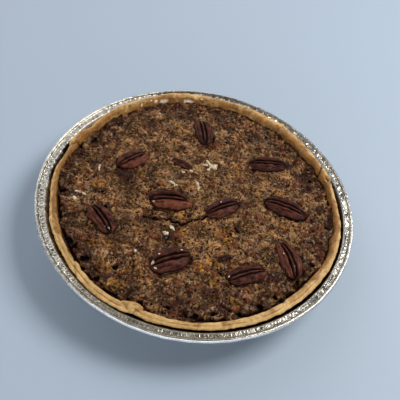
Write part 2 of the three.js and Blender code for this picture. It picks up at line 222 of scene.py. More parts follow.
# %% [markdown]
# ## Small tools for materials
# A material is a net of nodes, and `put` adds a node and fills or links its sockets by name. A `Level` is
# the output of a node, so it differs from place to place, and it can be added and multiplied as a number
# can. Every pattern reads Object coordinates, which are metres, so a grain of 2 mm has the scale 1000 / 2.

# %% Material tools


class Level:
    """A value that varies over a surface: the output of a node in a tree."""

    def __init__(self, tree, socket):
        self.tree = tree
        self.socket = socket

    def __add__(self, other):
        return calculated(self.tree, "ADD", self, other)

    def __sub__(self, other):
        return calculated(self.tree, "SUBTRACT", self, other)

    def __mul__(self, other):
        return calculated(self.tree, "MULTIPLY", self, other)

    def __abs__(self):
        return calculated(self.tree, "ABSOLUTE", self)

    __radd__ = __add__
    __rmul__ = __mul__


def set_socket(tree, socket, value):
    if isinstance(value, Level):
        tree.links.new(value.socket, socket)
    elif isinstance(value, bpy.types.NodeSocket):
        tree.links.new(value, socket)
    elif isinstance(value, tuple) and socket.type == "RGBA":
        socket.default_value = (*value, 1)
    else:
        socket.default_value = value


def put(tree, kind, **settings):
    node = tree.nodes.new("ShaderNode" + kind)
    for name, value in settings.items():
        socket = node.inputs.get(name.replace("_", " "))
        if socket is None:
            setattr(node, name, value)
        else:
            set_socket(tree, socket, value)
    return node


def calculated(tree, operation, *values, kind="Math"):
    node = put(tree, kind, operation=operation)
    for socket, value in zip(node.inputs, values):
        set_socket(tree, socket, value)
    return Level(tree, node.outputs[0])


def most(level, *others):
    """The largest of some levels."""
    for other in others:
        level = calculated(level.tree, "MAXIMUM", level, other)
    return level


def ramp(level, low, high, start=0.0, end=1.0):
    """Goes softly from start to end as the level goes from low to high."""
    node = put(
        level.tree, "MapRange", interpolation_type="SMOOTHSTEP", Value=level, From_Min=low, From_Max=high,
        To_Min=start, To_Max=end,
    )
    return Level(level.tree, node.outputs["Result"])


def blend(share, under, over):
    """One colour over another, where the share is 1."""
    node = put(share.tree, "Mix", data_type="RGBA")
    for number, value in ((0, share), (6, under), (7, over)):
        set_socket(share.tree, node.inputs[number], value)
    return node.outputs[2]


def layered(color, *layers):
    """A colour with others over it, from the bottom up: each its share and the colour."""
    for share, over in layers:
        color = blend(share, color, over)
    return color


def bump(height, millimetres, strength=1.0):
    node = put(height.tree, "Bump", Height=height, Distance=millimetres * MM, Strength=strength)
    return node.outputs["Normal"]


def split(tree, place):
    """The three coordinates of a place."""
    return [Level(tree, part) for part in put(tree, "SeparateXYZ", Vector=place).outputs]


class Finish:
    """A material, and the patterns and masks that its colour is mixed from."""

    def __init__(self, name, **constants):
        self.material = bpy.data.materials.new(name)
        self.material.use_nodes = True
        self.tree = self.material.node_tree
        self.place = put(self.tree, "TexCoord").outputs["Object"]
        self.connect(**constants)

    def connect(self, **values):
        shader = self.tree.nodes["Principled BSDF"]
        for name, value in values.items():
            set_socket(self.tree, shader.inputs[name.replace("_", " ")], value)

    def mask(self, name):
        return Level(self.tree, put(self.tree, "Attribute", attribute_name=name).outputs["Fac"])

    def grain(self, millimetres, detail=2.0, roughness=0.5, distortion=0.0):
        noise = put(
            self.tree, "TexNoise", Vector=self.place, Scale=1 / (millimetres * MM), Detail=detail,
            Roughness=roughness, Distortion=distortion,
        )
        return Level(self.tree, noise.outputs["Fac"])

    def pattern(self, group, **settings):
        """The outputs of a node group that is drawn on this material."""
        return put(self.tree, "Group", node_tree=group, Vector=self.place, **settings).outputs


# %% [markdown]
# ## Table and light
# A pale blue table, a soft light like a window to the right behind the pie, and a weaker one on the left.
# Light from behind shows every crag of a baked surface, because the sides that face us fall into shade.
# It isn't straight behind, where flat foil would mirror it at us. The room has a dark ceiling, a pale
# wall behind that is brighter to the left, and a bright wall low down in front, which the rolled edge of
# the tin mirrors as a white line.

# %% Table and lights
TABLE_SIZE = 8.0
CEILING_GLOW = 0.13
FRONT_WALL_GLOW = 2.6
BACK_WALL_GLOW = 0.5

table_bm = bmesh.new()
bmesh.ops.create_grid(table_bm, x_segments=1, y_segments=1, size=TABLE_SIZE / 2)
table = bpy.data.objects.new("table", as_mesh("table", table_bm))
table_paint = Finish("table_paint", Base_Color=(0.4, 0.485, 0.59), Roughness=0.6)
table.data.materials.append(table_paint.material)
bpy.context.scene.collection.objects.link(table)


def soft_light(name, place, size, power, tint):
    """A square light that points at the pie."""
    data = bpy.data.lights.new(name, "AREA")
    data.size = size
    data.energy = power
    data.color = tint
    light = bpy.data.objects.new(name, data)
    light.location = place
    light.rotation_euler = (-Vector(place)).to_track_quat("-Z", "Y").to_euler()
    bpy.context.scene.collection.objects.link(light)


soft_light("window", (0.85, 0.45, 1.2), 0.7, 19, (1.0, 0.98, 0.95))
soft_light("room", (-0.9, -0.3, 1.1), 1.2, 2.5, (0.97, 0.98, 1.0))
world = bpy.data.worlds.new("room")
world.use_nodes = True
room = world.node_tree
room_x, room_y, room_z = split(room, put(room, "TexCoord").outputs["Generated"])
front_wall = ramp(room_y, -0.2, -0.7) * ramp(room_z, 0.4, 0.15)
back_wall = ramp(room_y, -0.1, 0.5) * ramp(room_z, 0.97, 0.6) * ramp(room_x, -0.35, 0.25, 2.8, 0.6)
room_light = FRONT_WALL_GLOW * front_wall + BACK_WALL_GLOW * back_wall + CEILING_GLOW
set_socket(room, room.nodes["Background"].inputs["Strength"], room_light)
set_socket(room, room.nodes["Background"].inputs["Color"], (0.97, 0.98, 1.0))
bpy.context.scene.world = world

# %% [markdown]
# ## Three patterns for the finishes
# Baked food is never one brown. `mottle` mixes a dark and a light colour in blotches, with a finer
# speckle in them. `pores` makes small round holes of uneven size. `chopped` divides a surface into
# crooked bits, as chopped nuts do: it gives each bit a number of its own and marks the gaps between.

# %% Mottle group


def new_group(name, inputs, outputs):
    """A node group with the sockets that two tables of names and kinds give it."""
    group = bpy.data.node_groups.new(name, "ShaderNodeTree")
    for label, kind in inputs.items():
        group.interface.new_socket(label, in_out="INPUT", socket_type="NodeSocket" + kind)
    for label, kind in outputs.items():
        group.interface.new_socket(label, in_out="OUTPUT", socket_type="NodeSocket" + kind)
    return group, group.nodes.new("NodeGroupInput").outputs, group.nodes.new("NodeGroupOutput").inputs


mottle, mottle_in, mottle_out = new_group(
    "mottle",
    {"Vector": "Vector", "Blotches": "Float", "Speckles": "Float", "Dark": "Color", "Light": "Color"},
    {"Color": "Color", "Speckle": "Float"},
)
blotch = put(mottle, "TexNoise", Vector=mottle_in["Vector"], Scale=mottle_in["Blotches"], Detail=4.0)
speckle = put(
    mottle, "TexNoise", Vector=mottle_in["Vector"], Scale=mottle_in["Speckles"], Detail=3.0, Roughness=0.65
)
lightness = ramp(Level(mottle, blotch.outputs["Fac"]), 0.3, 0.7, 0.0, 0.5)
lightness = lightness + ramp(Level(mottle, speckle.outputs["Fac"]), 0.32, 0.68, 0.0, 0.5)
set_socket(mottle, mottle_out["Color"], blend(lightness, mottle_in["Dark"], mottle_in["Light"]))
set_socket(mottle, mottle_out["Speckle"], speckle.outputs["Fac"])


def mottled(finish, blotch_mm, speckle_mm, dark, light):
    """A mottled colour, and the level of its speckles."""
    made = finish.pattern(
        mottle, Blotches=1 / (blotch_mm * MM), Speckles=1 / (speckle_mm * MM), Dark=dark, Light=light
    )
    return made["Color"], Level(finish.tree, made["Speckle"])


print("mottle:", [s.name for s in mottle.interface.items_tree])

# %% Pores group
pores, pores_in, pores_out = new_group("pores", {"Vector": "Vector", "Scale": "Float"}, {"Pore": "Float"})
pore_cell = put(pores, "TexVoronoi", Vector=pores_in["Vector"], Scale=pores_in["Scale"], Randomness=1.0)
pore_number = put(pores, "SeparateColor", Color=pore_cell.outputs["Color"]).outputs["Red"]
pore_reach = 0.42 * Level(pores, pore_number) + pore_cell.outputs["Distance"]
set_socket(pores, pores_out["Pore"], ramp(pore_reach, 0.27, 0.36, 1.0, 0.0))


def porous(finish, millimetres):
    """1 in small round holes, set about so far apart."""
    return Level(finish.tree, finish.pattern(pores, Scale=1 / (millimetres * MM))["Pore"])


print("pores:", [s.name for s in pores.interface.items_tree])

# %% Chopped group
chopped, chopped_in, chopped_out = new_group(
    "chopped", {"Vector": "Vector", "Scale": "Float"}, {"Tone": "Float", "Gap": "Float"}
)
SHAKE = 3.2  # how crooked the bits are

scaled = put(chopped, "VectorMath", operation="SCALE", Vector=chopped_in["Vector"], Scale=chopped_in["Scale"])
scaled_at = scaled.outputs[0]
shake = put(chopped, "TexNoise", Vector=scaled_at, Scale=0.55, Detail=2.5).outputs["Color"]
bent_at = calculated(chopped, "MULTIPLY_ADD", shake, (SHAKE, SHAKE, SHAKE), scaled_at, kind="VectorMath")
bit = put(chopped, "TexVoronoi", Vector=bent_at, Scale=1.0, Randomness=1.0)
bit_number = put(chopped, "SeparateColor", Color=bit.outputs["Color"]).outputs["Red"]
bit_edge = put(chopped, "TexVoronoi", feature="DISTANCE_TO_EDGE", Vector=bent_at, Scale=1.0, Randomness=1.0)
set_socket(chopped, chopped_out["Tone"], bit_number)
from_edge = Level(chopped, bit_edge.outputs["Distance"])
set_socket(chopped, chopped_out["Gap"], ramp(from_edge, 0.02, 0.15, 1.0, 0.0))


def chopped_up(finish, millimetres):
    """A number from 0 to 1 for each crooked bit, and 1 in the gaps between the bits."""
    made = finish.pattern(chopped, Scale=1 / (millimetres * MM))
    return Level(finish.tree, made["Tone"]), Level(finish.tree, made["Gap"])


print("chopped:", [s.name for s in chopped.interface.items_tree])

# %% [markdown]
# ## The foil tin
# A pie tin is pressed from thin aluminium foil. Its flat band is crumpled into small radial folds, its
# edge is rolled into a bead, and its sloping wall is gathered in pleats. All three are pressed into a
# turned shape: the profile is spun, and then each point is moved by where it is round the tin. The
# folds leave flat facets, each at its own tilt, so that one is bright and the next is dark, and the
# facets are also painted light and dark, as painted reflections. They are finest at the left, and along
# the front the band is smooth but for close ticks. Inside the band the wall is dark brown, part baked-on
# syrup and part painted shade, which makes the gap beside the pastry look black. The outer side of the
# bead is painted whiter, as a painted highlight.

# %% Foil tin: material
TICKS = 640  # fine radial lines, for each radian of the band

foil = Finish("rolled_foil", Metallic=1.0)
foil_fine = foil.mask("fine")
foil_ticked = foil.mask("ticked")
foil_shaded = foil.mask("shaded")
foil_crinkled = foil.mask("crinkled")
foil_smear = foil.grain(7, 3)
foil_facet, foil_crease = chopped_up(foil, 1.5)
foil_x, foil_y, _ = split(foil.tree, foil.place)
foil_turn = calculated(foil.tree, "ARCTAN2", foil_y, foil_x)
foil_ticks = calculated(foil.tree, "SINE", TICKS * foil_turn + 9 * foil_smear)
foil_tone = 0.5 * foil_facet + 0.5 * foil_smear
# Painted reflections: the band's facets are coloured light and dark, and its creases and ticks are painted
# darker as shade
foil_band = layered(
    blend(ramp(foil_tone, 0.2, 0.75), (0.36, 0.34, 0.28), (0.86, 0.83, 0.75)),
    (0.4 * foil_fine, (0.8, 0.78, 0.7)),  # evenly pale where the folds are finest
    (foil_crease * (0.5 * foil_fine + 0.4), (0.16, 0.14, 0.1)),
    (0.55 * foil_ticked, (0.42, 0.38, 0.29)),
    (ramp(foil_ticks, 0.0, 0.9) * (0.55 * foil_ticked + 0.08), (0.16, 0.13, 0.09)),
    (0.9 * foil_shaded, (0.13, 0.13, 0.125)),  # painted reflection of the dark room on some facets
)
foil_color = layered(
    blend(ramp(foil_smear, 0.3, 0.7), (0.6, 0.595, 0.57), (0.86, 0.855, 0.83)),
    # painted shade in the pleats of the wall
    (0.6 * foil_shaded, (0.22, 0.22, 0.21)),
    (foil_crinkled, foil_band),
    # painted highlight: the outer side of the bead is whiter
    (foil.mask("shine"), (1.0, 0.98, 0.94)),
    # painted shade: dark brown inside the band, part baked-on syrup and part the gap's shade, and a painted
    # dark line in the groove at the bead
    (foil.mask("sooty"), (0.04, 0.028, 0.018)),
)
facet_share = -0.75 * foil_ticked + 0.9
foil_height = foil.grain(0.9) * (facet_share + 0.1) + foil_facet * facet_share - 0.3 * foil_ticks
foil.connect(
    Base_Color=foil_color,
    Roughness=ramp(foil_smear, 0.3, 0.7, 0.12, 0.28) + 0.06 * foil_fine,
    Normal=bump(foil_height * (0.85 * foil_crinkled + 0.15), 0.12, 0.5),
)

# %% Foil tin: sizes
TIN_RADIUS = 122.0
BEAD_RADIUS = 1.5
BEAD_HEIGHT = 28.7
BAND_INNER_RADIUS = 115.2
BAND_HEIGHT = 28.5
TIN_FLOOR_RADIUS = 90.0
FOIL = 0.8
BAND_EDGE = TIN_RADIUS - 2 * BEAD_RADIUS


def arc(radius, height, size, start, end, points):
    """Points [radius, height] along an arc of a section, between two directions in degrees."""
    turns = np.radians(np.linspace(start, end, points))
    return [[radius + size * math.cos(t), height + size * math.sin(t)] for t in turns]


def along_line(start, end, points):
    return [list(p) for p in np.linspace(start, end, points)]


def tin_profile():
    wall = along_line((TIN_FLOOR_RADIUS, 1), (BAND_INNER_RADIUS - 0.4, BAND_HEIGHT - FOIL - 0.4), 5)
    over = along_line((BAND_EDGE - 0.7, BAND_HEIGHT), (BAND_INNER_RADIUS, BAND_HEIGHT), 7)
    under = [[r + 0.2, z - FOIL] for r, z in reversed(over)]
    bead = arc(TIN_RADIUS - BEAD_RADIUS, BEAD_HEIGHT, BEAD_RADIUS, -120, -15, 5)
    bead_top = arc(TIN_RADIUS - BEAD_RADIUS, BEAD_HEIGHT, BEAD_RADIUS, 70, 170, 5)
    bead += along_line(bead[-1], bead_top[0], 5)[1:-1] + bead_top  # flat on the lower outer side
    inside = [[r - FOIL, z + FOIL] for r, z in reversed(wall)]
    foot = [[0, 0], [TIN_FLOOR_RADIUS - 2, 0], [TIN_FLOOR_RADIUS - 0.6, 0.25]]
    return foot + wall + under + bead + over + inside + [[TIN_FLOOR_RADIUS - 3, FOIL], [0, FOIL]]


print("the band is", round(BAND_EDGE - BAND_INNER_RADIUS, 1), "mm wide")

# %% Foil tin: shape
TIN_STEPS = 1920
SECTORS = 12
CRIMPS = 250
CRIMP_CROWDING = 120  # how much closer together they are at the front left than in the mean
CRIMP_DEPTH = 0.34
PLEATS = 120
PLEAT_DEPTH = 0.7
TIN_FLAT = 1.3  # how far the edge is bent in at the back right


def turned(name, profile, steps):
    """A turned shape from [radius, height] points: one sector is spun, and then copied round."""
    bm = bmesh.new()
    points = [bm.verts.new((r, 0, z)) for r, z in profile]
    edges = [bm.edges.new(pair) for pair in zip(points, points[1:])]
    sector = math.tau / SECTORS
    axis = {"cent": (0, 0, 0), "axis": (0, 0, 1)}
    bmesh.ops.spin(bm, geom=points + edges, angle=sector, steps=steps // SECTORS, **axis)
    whole = bm.verts[:] + bm.edges[:] + bm.faces[:]
    bmesh.ops.spin(bm, geom=whole, angle=math.tau - sector, steps=SECTORS - 1, use_duplicate=True, **axis)
    bmesh.ops.remove_doubles(bm, verts=bm.verts, dist=1e-3)
    bmesh.ops.recalc_face_normals(bm, faces=bm.faces)
    return as_mesh(name, bm)


def crimped(turn, lean):
    """Height of the folded band, in crests with facets between them, and which facets lie in shade."""
    count = (CRIMPS * turn + CRIMP_CROWDING * np.sin(turn - math.radians(250))) / math.tau + lean
    facet = np.floor(count)
    part = count - facet
    tilt = 2 * chance(facet % CRIMPS, 0, 0, 1) - 1
    crest = bell(part, 0.12) + bell(1 - part, 0.12)
    height = 2 * tilt * (part - 0.5) + crest * (0.3 + 0.7 * chance(np.round(count) % CRIMPS, 0, 0, 2))
    return height, smooth(0.0, -0.4, tilt) * smooth(0.5, 0.4, abs(part - 0.5))


def press_tin():
    mesh = turned("foil_tin_pressed", tin_profile(), TIN_STEPS)
    x, y, z = points_of(mesh)
    _, _, up = normals_of(mesh)
    radius = np.hypot(x, y)
    turn = np.arctan2(y, x)
    degrees = np.degrees(turn)
    at_front = towards(degrees, 270, 45, 15)
    at_front_left = towards(degrees, 240, 60, 20)
    at_left = towards(degrees, 212, 40, 15)
    fine_left = towards(degrees, 200, 85, 50) * (1 - at_front)
    at_right = towards(degrees, 0, 70, 20)
    at_far_right = towards(degrees, 45, 80, 45)
    at_back = towards(degrees, 70, 60, 25)
    plain_bead = np.maximum(at_front, 0.8 * at_far_right)

    off_band_edges = smooth(BAND_INNER_RADIUS - 0.3, BAND_INNER_RADIUS + 0.5, radius)
    on_band = off_band_edges * smooth(BAND_EDGE, BAND_EDGE - 0.8, radius)
    on_wall = smooth(2, 9, z) * smooth(27.5, 24, z) * (radius < BAND_INNER_RADIUS)
    on_bead = smooth(BAND_EDGE - 0.2, BAND_EDGE + 0.6, radius)
    zigzag = 0.16 * np.sin((radius - BAND_INNER_RADIUS) * 1.5 + 6 * wobble(x, y, 0, 12, 1))
    folds, fold_shade = crimped(turn, zigzag + 0.4 * wobble(x, y, 0, 7, 2))
    crimp = CRIMP_DEPTH * folds * (1 - 0.8 * at_front + 0.3 * at_right - 0.25 * fine_left)
    crimp = crimp + 0.12 * wobble(x, y, 0, 1.9, 4) * (1 - 0.8 * at_front)
    crimp = crimp + 0.16 * fine_left * wobble(x, y, 0, 1.2, 57)
    dents = (0.1 + 0.2 * at_front_left) * wobble(x, y, 0, 3, 5)
    dents = dents + (0.04 + 0.1 * at_front_left) * wobble(x, y, 0, 1.4, 6)
    z = z + on_band * crimp + on_bead * (dents + 0.1 * folds) * (1 - 0.85 * plain_bead)
    pleat = abs(np.sin(PLEATS / 2 * turn + 0.5 * wobble(x, y, z, 12, 7)))
    out = on_wall * PLEAT_DEPTH * (pleat - 0.6) * (0.7 + 0.5 * wobble(x, y, z, 9, 9))
    out = out + on_bead * (0.25 * wobble(x, y, 0, 9, 8) - 0.2)
    out = out - TIN_FLAT * bell(turn_between(degrees, 50), 26) * smooth(100, 118, radius)

    # Inside the band: part baked-on syrup, part painted shade in the gap beside the pastry; lines is painted
    # shade in the groove at the bead's edge, with dark dashes
    syrup_line = BAND_INNER_RADIUS + 0.1 - 1.8 * at_left
    syrup = smooth(0, 0.3, up) * smooth(syrup_line, syrup_line - 0.7, radius) * (1 - 0.5 * at_back)
    dashes = smooth(-0.3, 0.3, wobble(x, y, 0, 1.6, 51)) * (1 - at_far_right)
    lines = 0.75 * bell(radius - BAND_EDGE + 0.3, 0.3) + 0.7 * dashes * bell(radius - BAND_EDGE - 1.2, 0.3)
    nicked = smooth(-0.1, 0.3, wobble(x, y, 0, 1.5, 52)) * (1 - at_far_right)
    nicked = nicked * (0.15 + 0.7 * at_front_left * (1 - at_front))
    bead_top = smooth(BAND_EDGE + 1.1, BAND_EDGE + 1.8, radius)
    shaded_folds = on_band * fold_shade * towards(degrees, 30, 120, 60)
    keep_masks(
        mesh,
        sooty=np.maximum(syrup, lines * (up > 0)),
        crinkled=smooth(BAND_INNER_RADIUS - 0.5, BAND_INNER_RADIUS + 0.3, radius) * smooth(0.0, 0.2, up),
        # painted highlight on the outer side of the bead, broken where it is nicked
        shine=bead_top * (1 - nicked) * (0.5 + 0.5 * plain_bead),
        ticked=at_front,
        fine=fine_left,
        # painted reflection of the dark room on some facets of the band, and painted shade in the pleats
        shaded=np.maximum(shaded_folds, on_wall * smooth(0.35, 0.1, pleat)),
    )
    grow = 1 + out / np.maximum(radius, 1)
    move_points(mesh, x * grow, y * grow, z)
    return finish_piece(mesh, foil, "foil", "foil_tin")


press_tin()

# %% [markdown]
# ## The pastry
# The rim is a strip of dough folded over on itself by hand: a higher roll inside, a lower lip outside
# and a groove between them along the front. Where the strip was pinched there are folds and seams. The
# section is spun as a coarse cage and folded, then rounded, and the fine unevenness goes on last.

# %% Pastry: material
pastry = Finish("baked_pastry", Coat_Roughness=0.2, Specular_IOR_Level=0.3)
pale, pale_speckle = mottled(pastry, 8, 1.5, (0.43, 0.23, 0.068), (0.78, 0.52, 0.215))
golden, _ = mottled(pastry, 6, 1.2, (0.15, 0.058, 0.01), (0.4, 0.185, 0.04))
burnt, _ = mottled(pastry, 4, 1.0, (0.012, 0.004, 0.002), (0.075, 0.026, 0.009))
browned = pastry.mask("browned") + 0.5 * pastry.grain(4, 4)
floured = pastry.mask("flour") * ramp(pastry.grain(2.5, 3), 0.35, 0.6)
pastry_color = layered(
    pale,
    # golden brown where the dough browned, with painted shade in the crease, the seams, under the outer lip
    # and on the inner slope at the sides
    (ramp(browned, 0.25, 1.0), golden),
    # near black where the dough burnt against the filling, with painted shade there and in the seams and the
    # curl's crease
    (ramp(pastry.mask("burnt"), 0.2, 0.9), burnt),
    (floured, (0.72, 0.46, 0.21)),
    (pastry.mask("glossy"), (1.0, 0.85, 0.62)),  # painted highlights, where runs of egg wash catch the light
)
pastry.connect(
    Base_Color=pastry_color,
    Roughness=ramp(pale_speckle, 0.3, 0.7, 0.4, 0.65),
    Coat_Weight=pastry.mask("glaze"),
    Normal=bump(pale_speckle + pastry.grain(0.7, 3, 0.6), 0.35, 0.6),
)

# %% Pastry: sizes
GAP = 0.3
CRUST_RADIUS = 111.6
RIM_WIDTH = 6.6
RIM_HEIGHT = 33.8
RIM_RISE = 2.0
RIM_SHIFT = 2.2
CRUST_FLOOR = 3.5
SHOULDER_RADIUS = 106.3
FILLING_HEIGHT = 30.0
FILLING_DOME = 2.2
FILLING_RADIUS = 102.6
RIM_ROLL = 0.3  # the rounding draws the rim in by so much
BROAD_RIM = 42  # the direction in which the rim is broadest
OUTER_SWELLS = [  # humps of the rim's outer edge: direction, half-width in degrees, height
    (10, 11, -2.2), (36, 9, -1.2), (56, 5, 1.6), (108, 14, 2.2), (155, 9, -3.4), (162, 4, 2), (174, 6, -2.4),
    (196, 7, -1.4), (243, 15, 1.7), (257, 2.5, -1), (338, 12, 0.5),
]
WIDTH_SWELLS = [
    (24, 6, 1.8), (40, 11, 2.6), (58, 13, 3.4), (103, 25, 0.8), (155, 6, -0.8), (166, 3.5, 1.6),
    (174, 5, -1.9), (206, 6, 0.8), (255.3, 3, 2.7), (276, 14, -0.9), (325, 14, 1.8), (348, 4, 1.2),
]
HEIGHT_SWELLS = [(24, 7, 0.7), (122, 26, 1.5), (164, 4, 1.5), (255, 4.5, 1.1), (349, 6, 0.8)]
GLOSSY = [  # painted highlights on runs of thick egg wash: direction, half-length in degrees, share of the rim's width
    (115.7, 2.2, 1.02), (103.6, 2.3, 1.06), (119.8, 1.0, 0.98), (122.3, 0.4, 0.9), (127, 0.5, 1),
    (97.3, 0.7, 0.9), (54, 0.5, 0.3), (20.2, 0.7, 0.75),
]


def sides(degrees):
    """1 at the left and right, less at the front and back."""
    return 0.35 + 0.65 * np.cos(np.radians(degrees)) ** 2


def rim_radius(degrees):
    return CRUST_RADIUS - RIM_SHIFT * np.sin(np.radians(degrees)) + swells(OUTER_SWELLS, degrees)


def rim_width(degrees):
    return RIM_WIDTH + swells(WIDTH_SWELLS, degrees)


def crust_across(degrees):
    """How wide the rim looks from above."""
    return rim_width(degrees) - 1.7 * sides(degrees)


def inner_edge(degrees):
    return rim_radius(degrees) - RIM_ROLL - crust_across(degrees)


def rim_height(degrees):
    turn = np.radians(degrees)
    waves = 0.25 * np.sin(5 * turn + 1) + 0.2 * np.sin(11 * turn)
    return RIM_HEIGHT + RIM_RISE * np.sin(turn) + waves + swells(HEIGHT_SWELLS, degrees)


def groove_drift(degrees):
    """How far the groove wanders across the rim, in shares of its width."""
    turn = np.radians(degrees)
    return 0.12 * wobble(100 * np.cos(turn), 100 * np.sin(turn), 0, 14, 11)


def fold_groove(degrees):
    """How deep the groove is: 1 at the front, and next to nothing at the back."""
    return np.clip(0.45 - 0.75 * np.sin(np.radians(degrees)), 0.1, 1)


print("rim radius at the front and back:", round(rim_radius(270), 1), round(rim_radius(90), 1))

# %% [markdown]
# The cage is spun from a section. Each point of the section is then found again all round the cage by
# its radius and height, and its copies are moved: those of the rim follow the rim's width, height and
# groove, the one on each side of the rim moves in and out with it, and the others stay.

# %% Pastry: cage
CRUST_STEPS = 240
MIDDLE_RADIUS = 60  # the cage stays open inside this, above and below, until it is rounded
FOOT_RADIUS = 86.5
SHOULDER_HEIGHT = 24
SHOULDER_FOLLOWS = 0.3
GROOVE_DEPTH = 0.7
UNDER_EDGE = 3  # how far below the filling's edge the inside of the pastry begins
CLOSE = 1e-3
# Points across the rim: share of its width, drop below its top, and how much of the groove each has
RIM_SECTION = [
    (0.3, 4.2, 0), (0.01, 3.1, 0), (0.06, 1.3, 0.4), (0.2, 0.75, 0.6), (0.34, 0.6, 0.8), (0.5, 0.25, 0.1),
    (0.68, 0, 0), (0.88, 0.5, 0), (1, 1.8, 0),
]


def crust_cage():
    base = FOIL + GAP
    floor = base + CRUST_FLOOR
    outside = [[MIDDLE_RADIUS, base], [FOOT_RADIUS, base + 0.1], [SHOULDER_RADIUS, SHOULDER_HEIGHT]]
    rim = [[CRUST_RADIUS - across * RIM_WIDTH, RIM_HEIGHT - drop] for across, drop, _ in RIM_SECTION]
    under = [FILLING_RADIUS, FILLING_HEIGHT - UNDER_EDGE]
    section = outside + rim + [under, [97, 20], [84, floor], [MIDDLE_RADIUS, floor]]
    mesh = turned("pastry_cage", section, CRUST_STEPS)
    x, y, z = points_of(mesh)
    radius = np.maximum(np.hypot(x, y), 1e-6)
    degrees = np.degrees(np.arctan2(y, x))
    new_radius = radius.copy()
    for row, (r, height) in enumerate(section):
        here = (abs(radius - r) < CLOSE) & (abs(z - height) < CLOSE)
        in_rim = row - len(outside)
        if 0 <= in_rim < len(rim):
            across, drop, groove = RIM_SECTION[in_rim]
            inwards = RIM_ROLL + (across + groove * groove_drift(degrees)) * crust_across(degrees)
            new_radius = np.where(here, rim_radius(degrees) - inwards, new_radius)
            down = drop + GROOVE_DEPTH * groove * fold_groove(degrees)
            z = np.where(here, rim_height(degrees) - down, z)
        elif in_rim == -1:
            shift = SHOULDER_FOLLOWS * (rim_radius(degrees) - CRUST_RADIUS)
            new_radius = np.where(here, r + shift, new_radius)
        elif in_rim == len(rim):
            new_radius = np.where(here, inner_edge(degrees) - 0.9 + 0.5 * sides(degrees), new_radius)
    move_points(mesh, x * new_radius / radius, y * new_radius / radius, z)
    return mesh


# %% [markdown]
# A seam is a narrow valley across the rim, where one stretch of dough ends on another. Each has its
# direction, half-width, depth and slant, and a lift of the dough that lies on top beside it. The curl
# is a flap at the right that was pressed over on itself.

# %% Pastry: shape
SEAMS = [  # direction, half-width in degrees, depth, slant in degrees, lift
    (27, 0.6, 2.2, -4, -0.5), (56, 0.45, 1.5, 1.5, 0.7), (167.7, 0.6, 1.5, -3, -0.8),
    (207, 0.6, 0.5, 4, 0.5), (230, 0.5, 0.7, -5, 0.4), (253, 0.5, 0.7, -5, 0.4), (258, 0.55, 1.1, 3, -0.5),
    (309, 0.6, 0.35, 5, 0.3), (348, 0.5, 0.7, -3, 0.5),
]
CURL = (100.6, 39.4, 3.1, -45)  # x, y, radius and the direction of its crease


def curled(x, y):
    """How deep in the crease round the curl a place is, and how far up on the curl."""
    x0, y0, size, side = CURL
    off = np.hypot(x - x0, y - y0)
    beside = ((x - x0) * math.cos(math.radians(side)) + (y - y0) * math.sin(math.radians(side))) / size
    return bell(off - size, 0.6) * smooth(-0.5, 0.2, beside), smooth(size, 0.6 * size, off)


def close_holes(mesh):
    bm = bmesh.new()
    bm.from_mesh(mesh)
    bmesh.ops.holes_fill(bm, edges=[e for e in bm.edges if e.is_boundary], sides=0)
    bmesh.ops.recalc_face_normals(bm, faces=bm.faces)
    bm.to_mesh(mesh)
    bm.free()


def seamed(x, y, z, degrees, across):
    """How deep in the seams each place is, and how far the dough beside them is lifted."""
    valley = 0
    lift = 0
    for at, half, depth, slant, rise in SEAMS:
        off = turn_between(degrees - slant * (across - 0.5), at) + 0.5 * wobble(x, y, z, 2.5, 10)
        valley = valley + depth * bell(off, half)
        lift = lift + abs(rise) * bell(off - 1.9 * np.sign(rise), 1.7)
    return valley, lift


def washed(x, y, degrees, across):
    """Where highlights are painted on runs of thick egg wash, and the browner ring round them."""
    glossy = 0
    halo = 0
    for at, half, where in GLOSSY:
        off = np.hypot(turn_between(degrees, at) / half, (across - where) / 0.055)
        off = off + 0.4 * wobble(x, y, 0, 1.3, 44)
        glossy = np.maximum(glossy, smooth(1.3, 0.5, off))
        halo = np.maximum(halo, smooth(2.8, 1.5, off))
    return glossy, halo


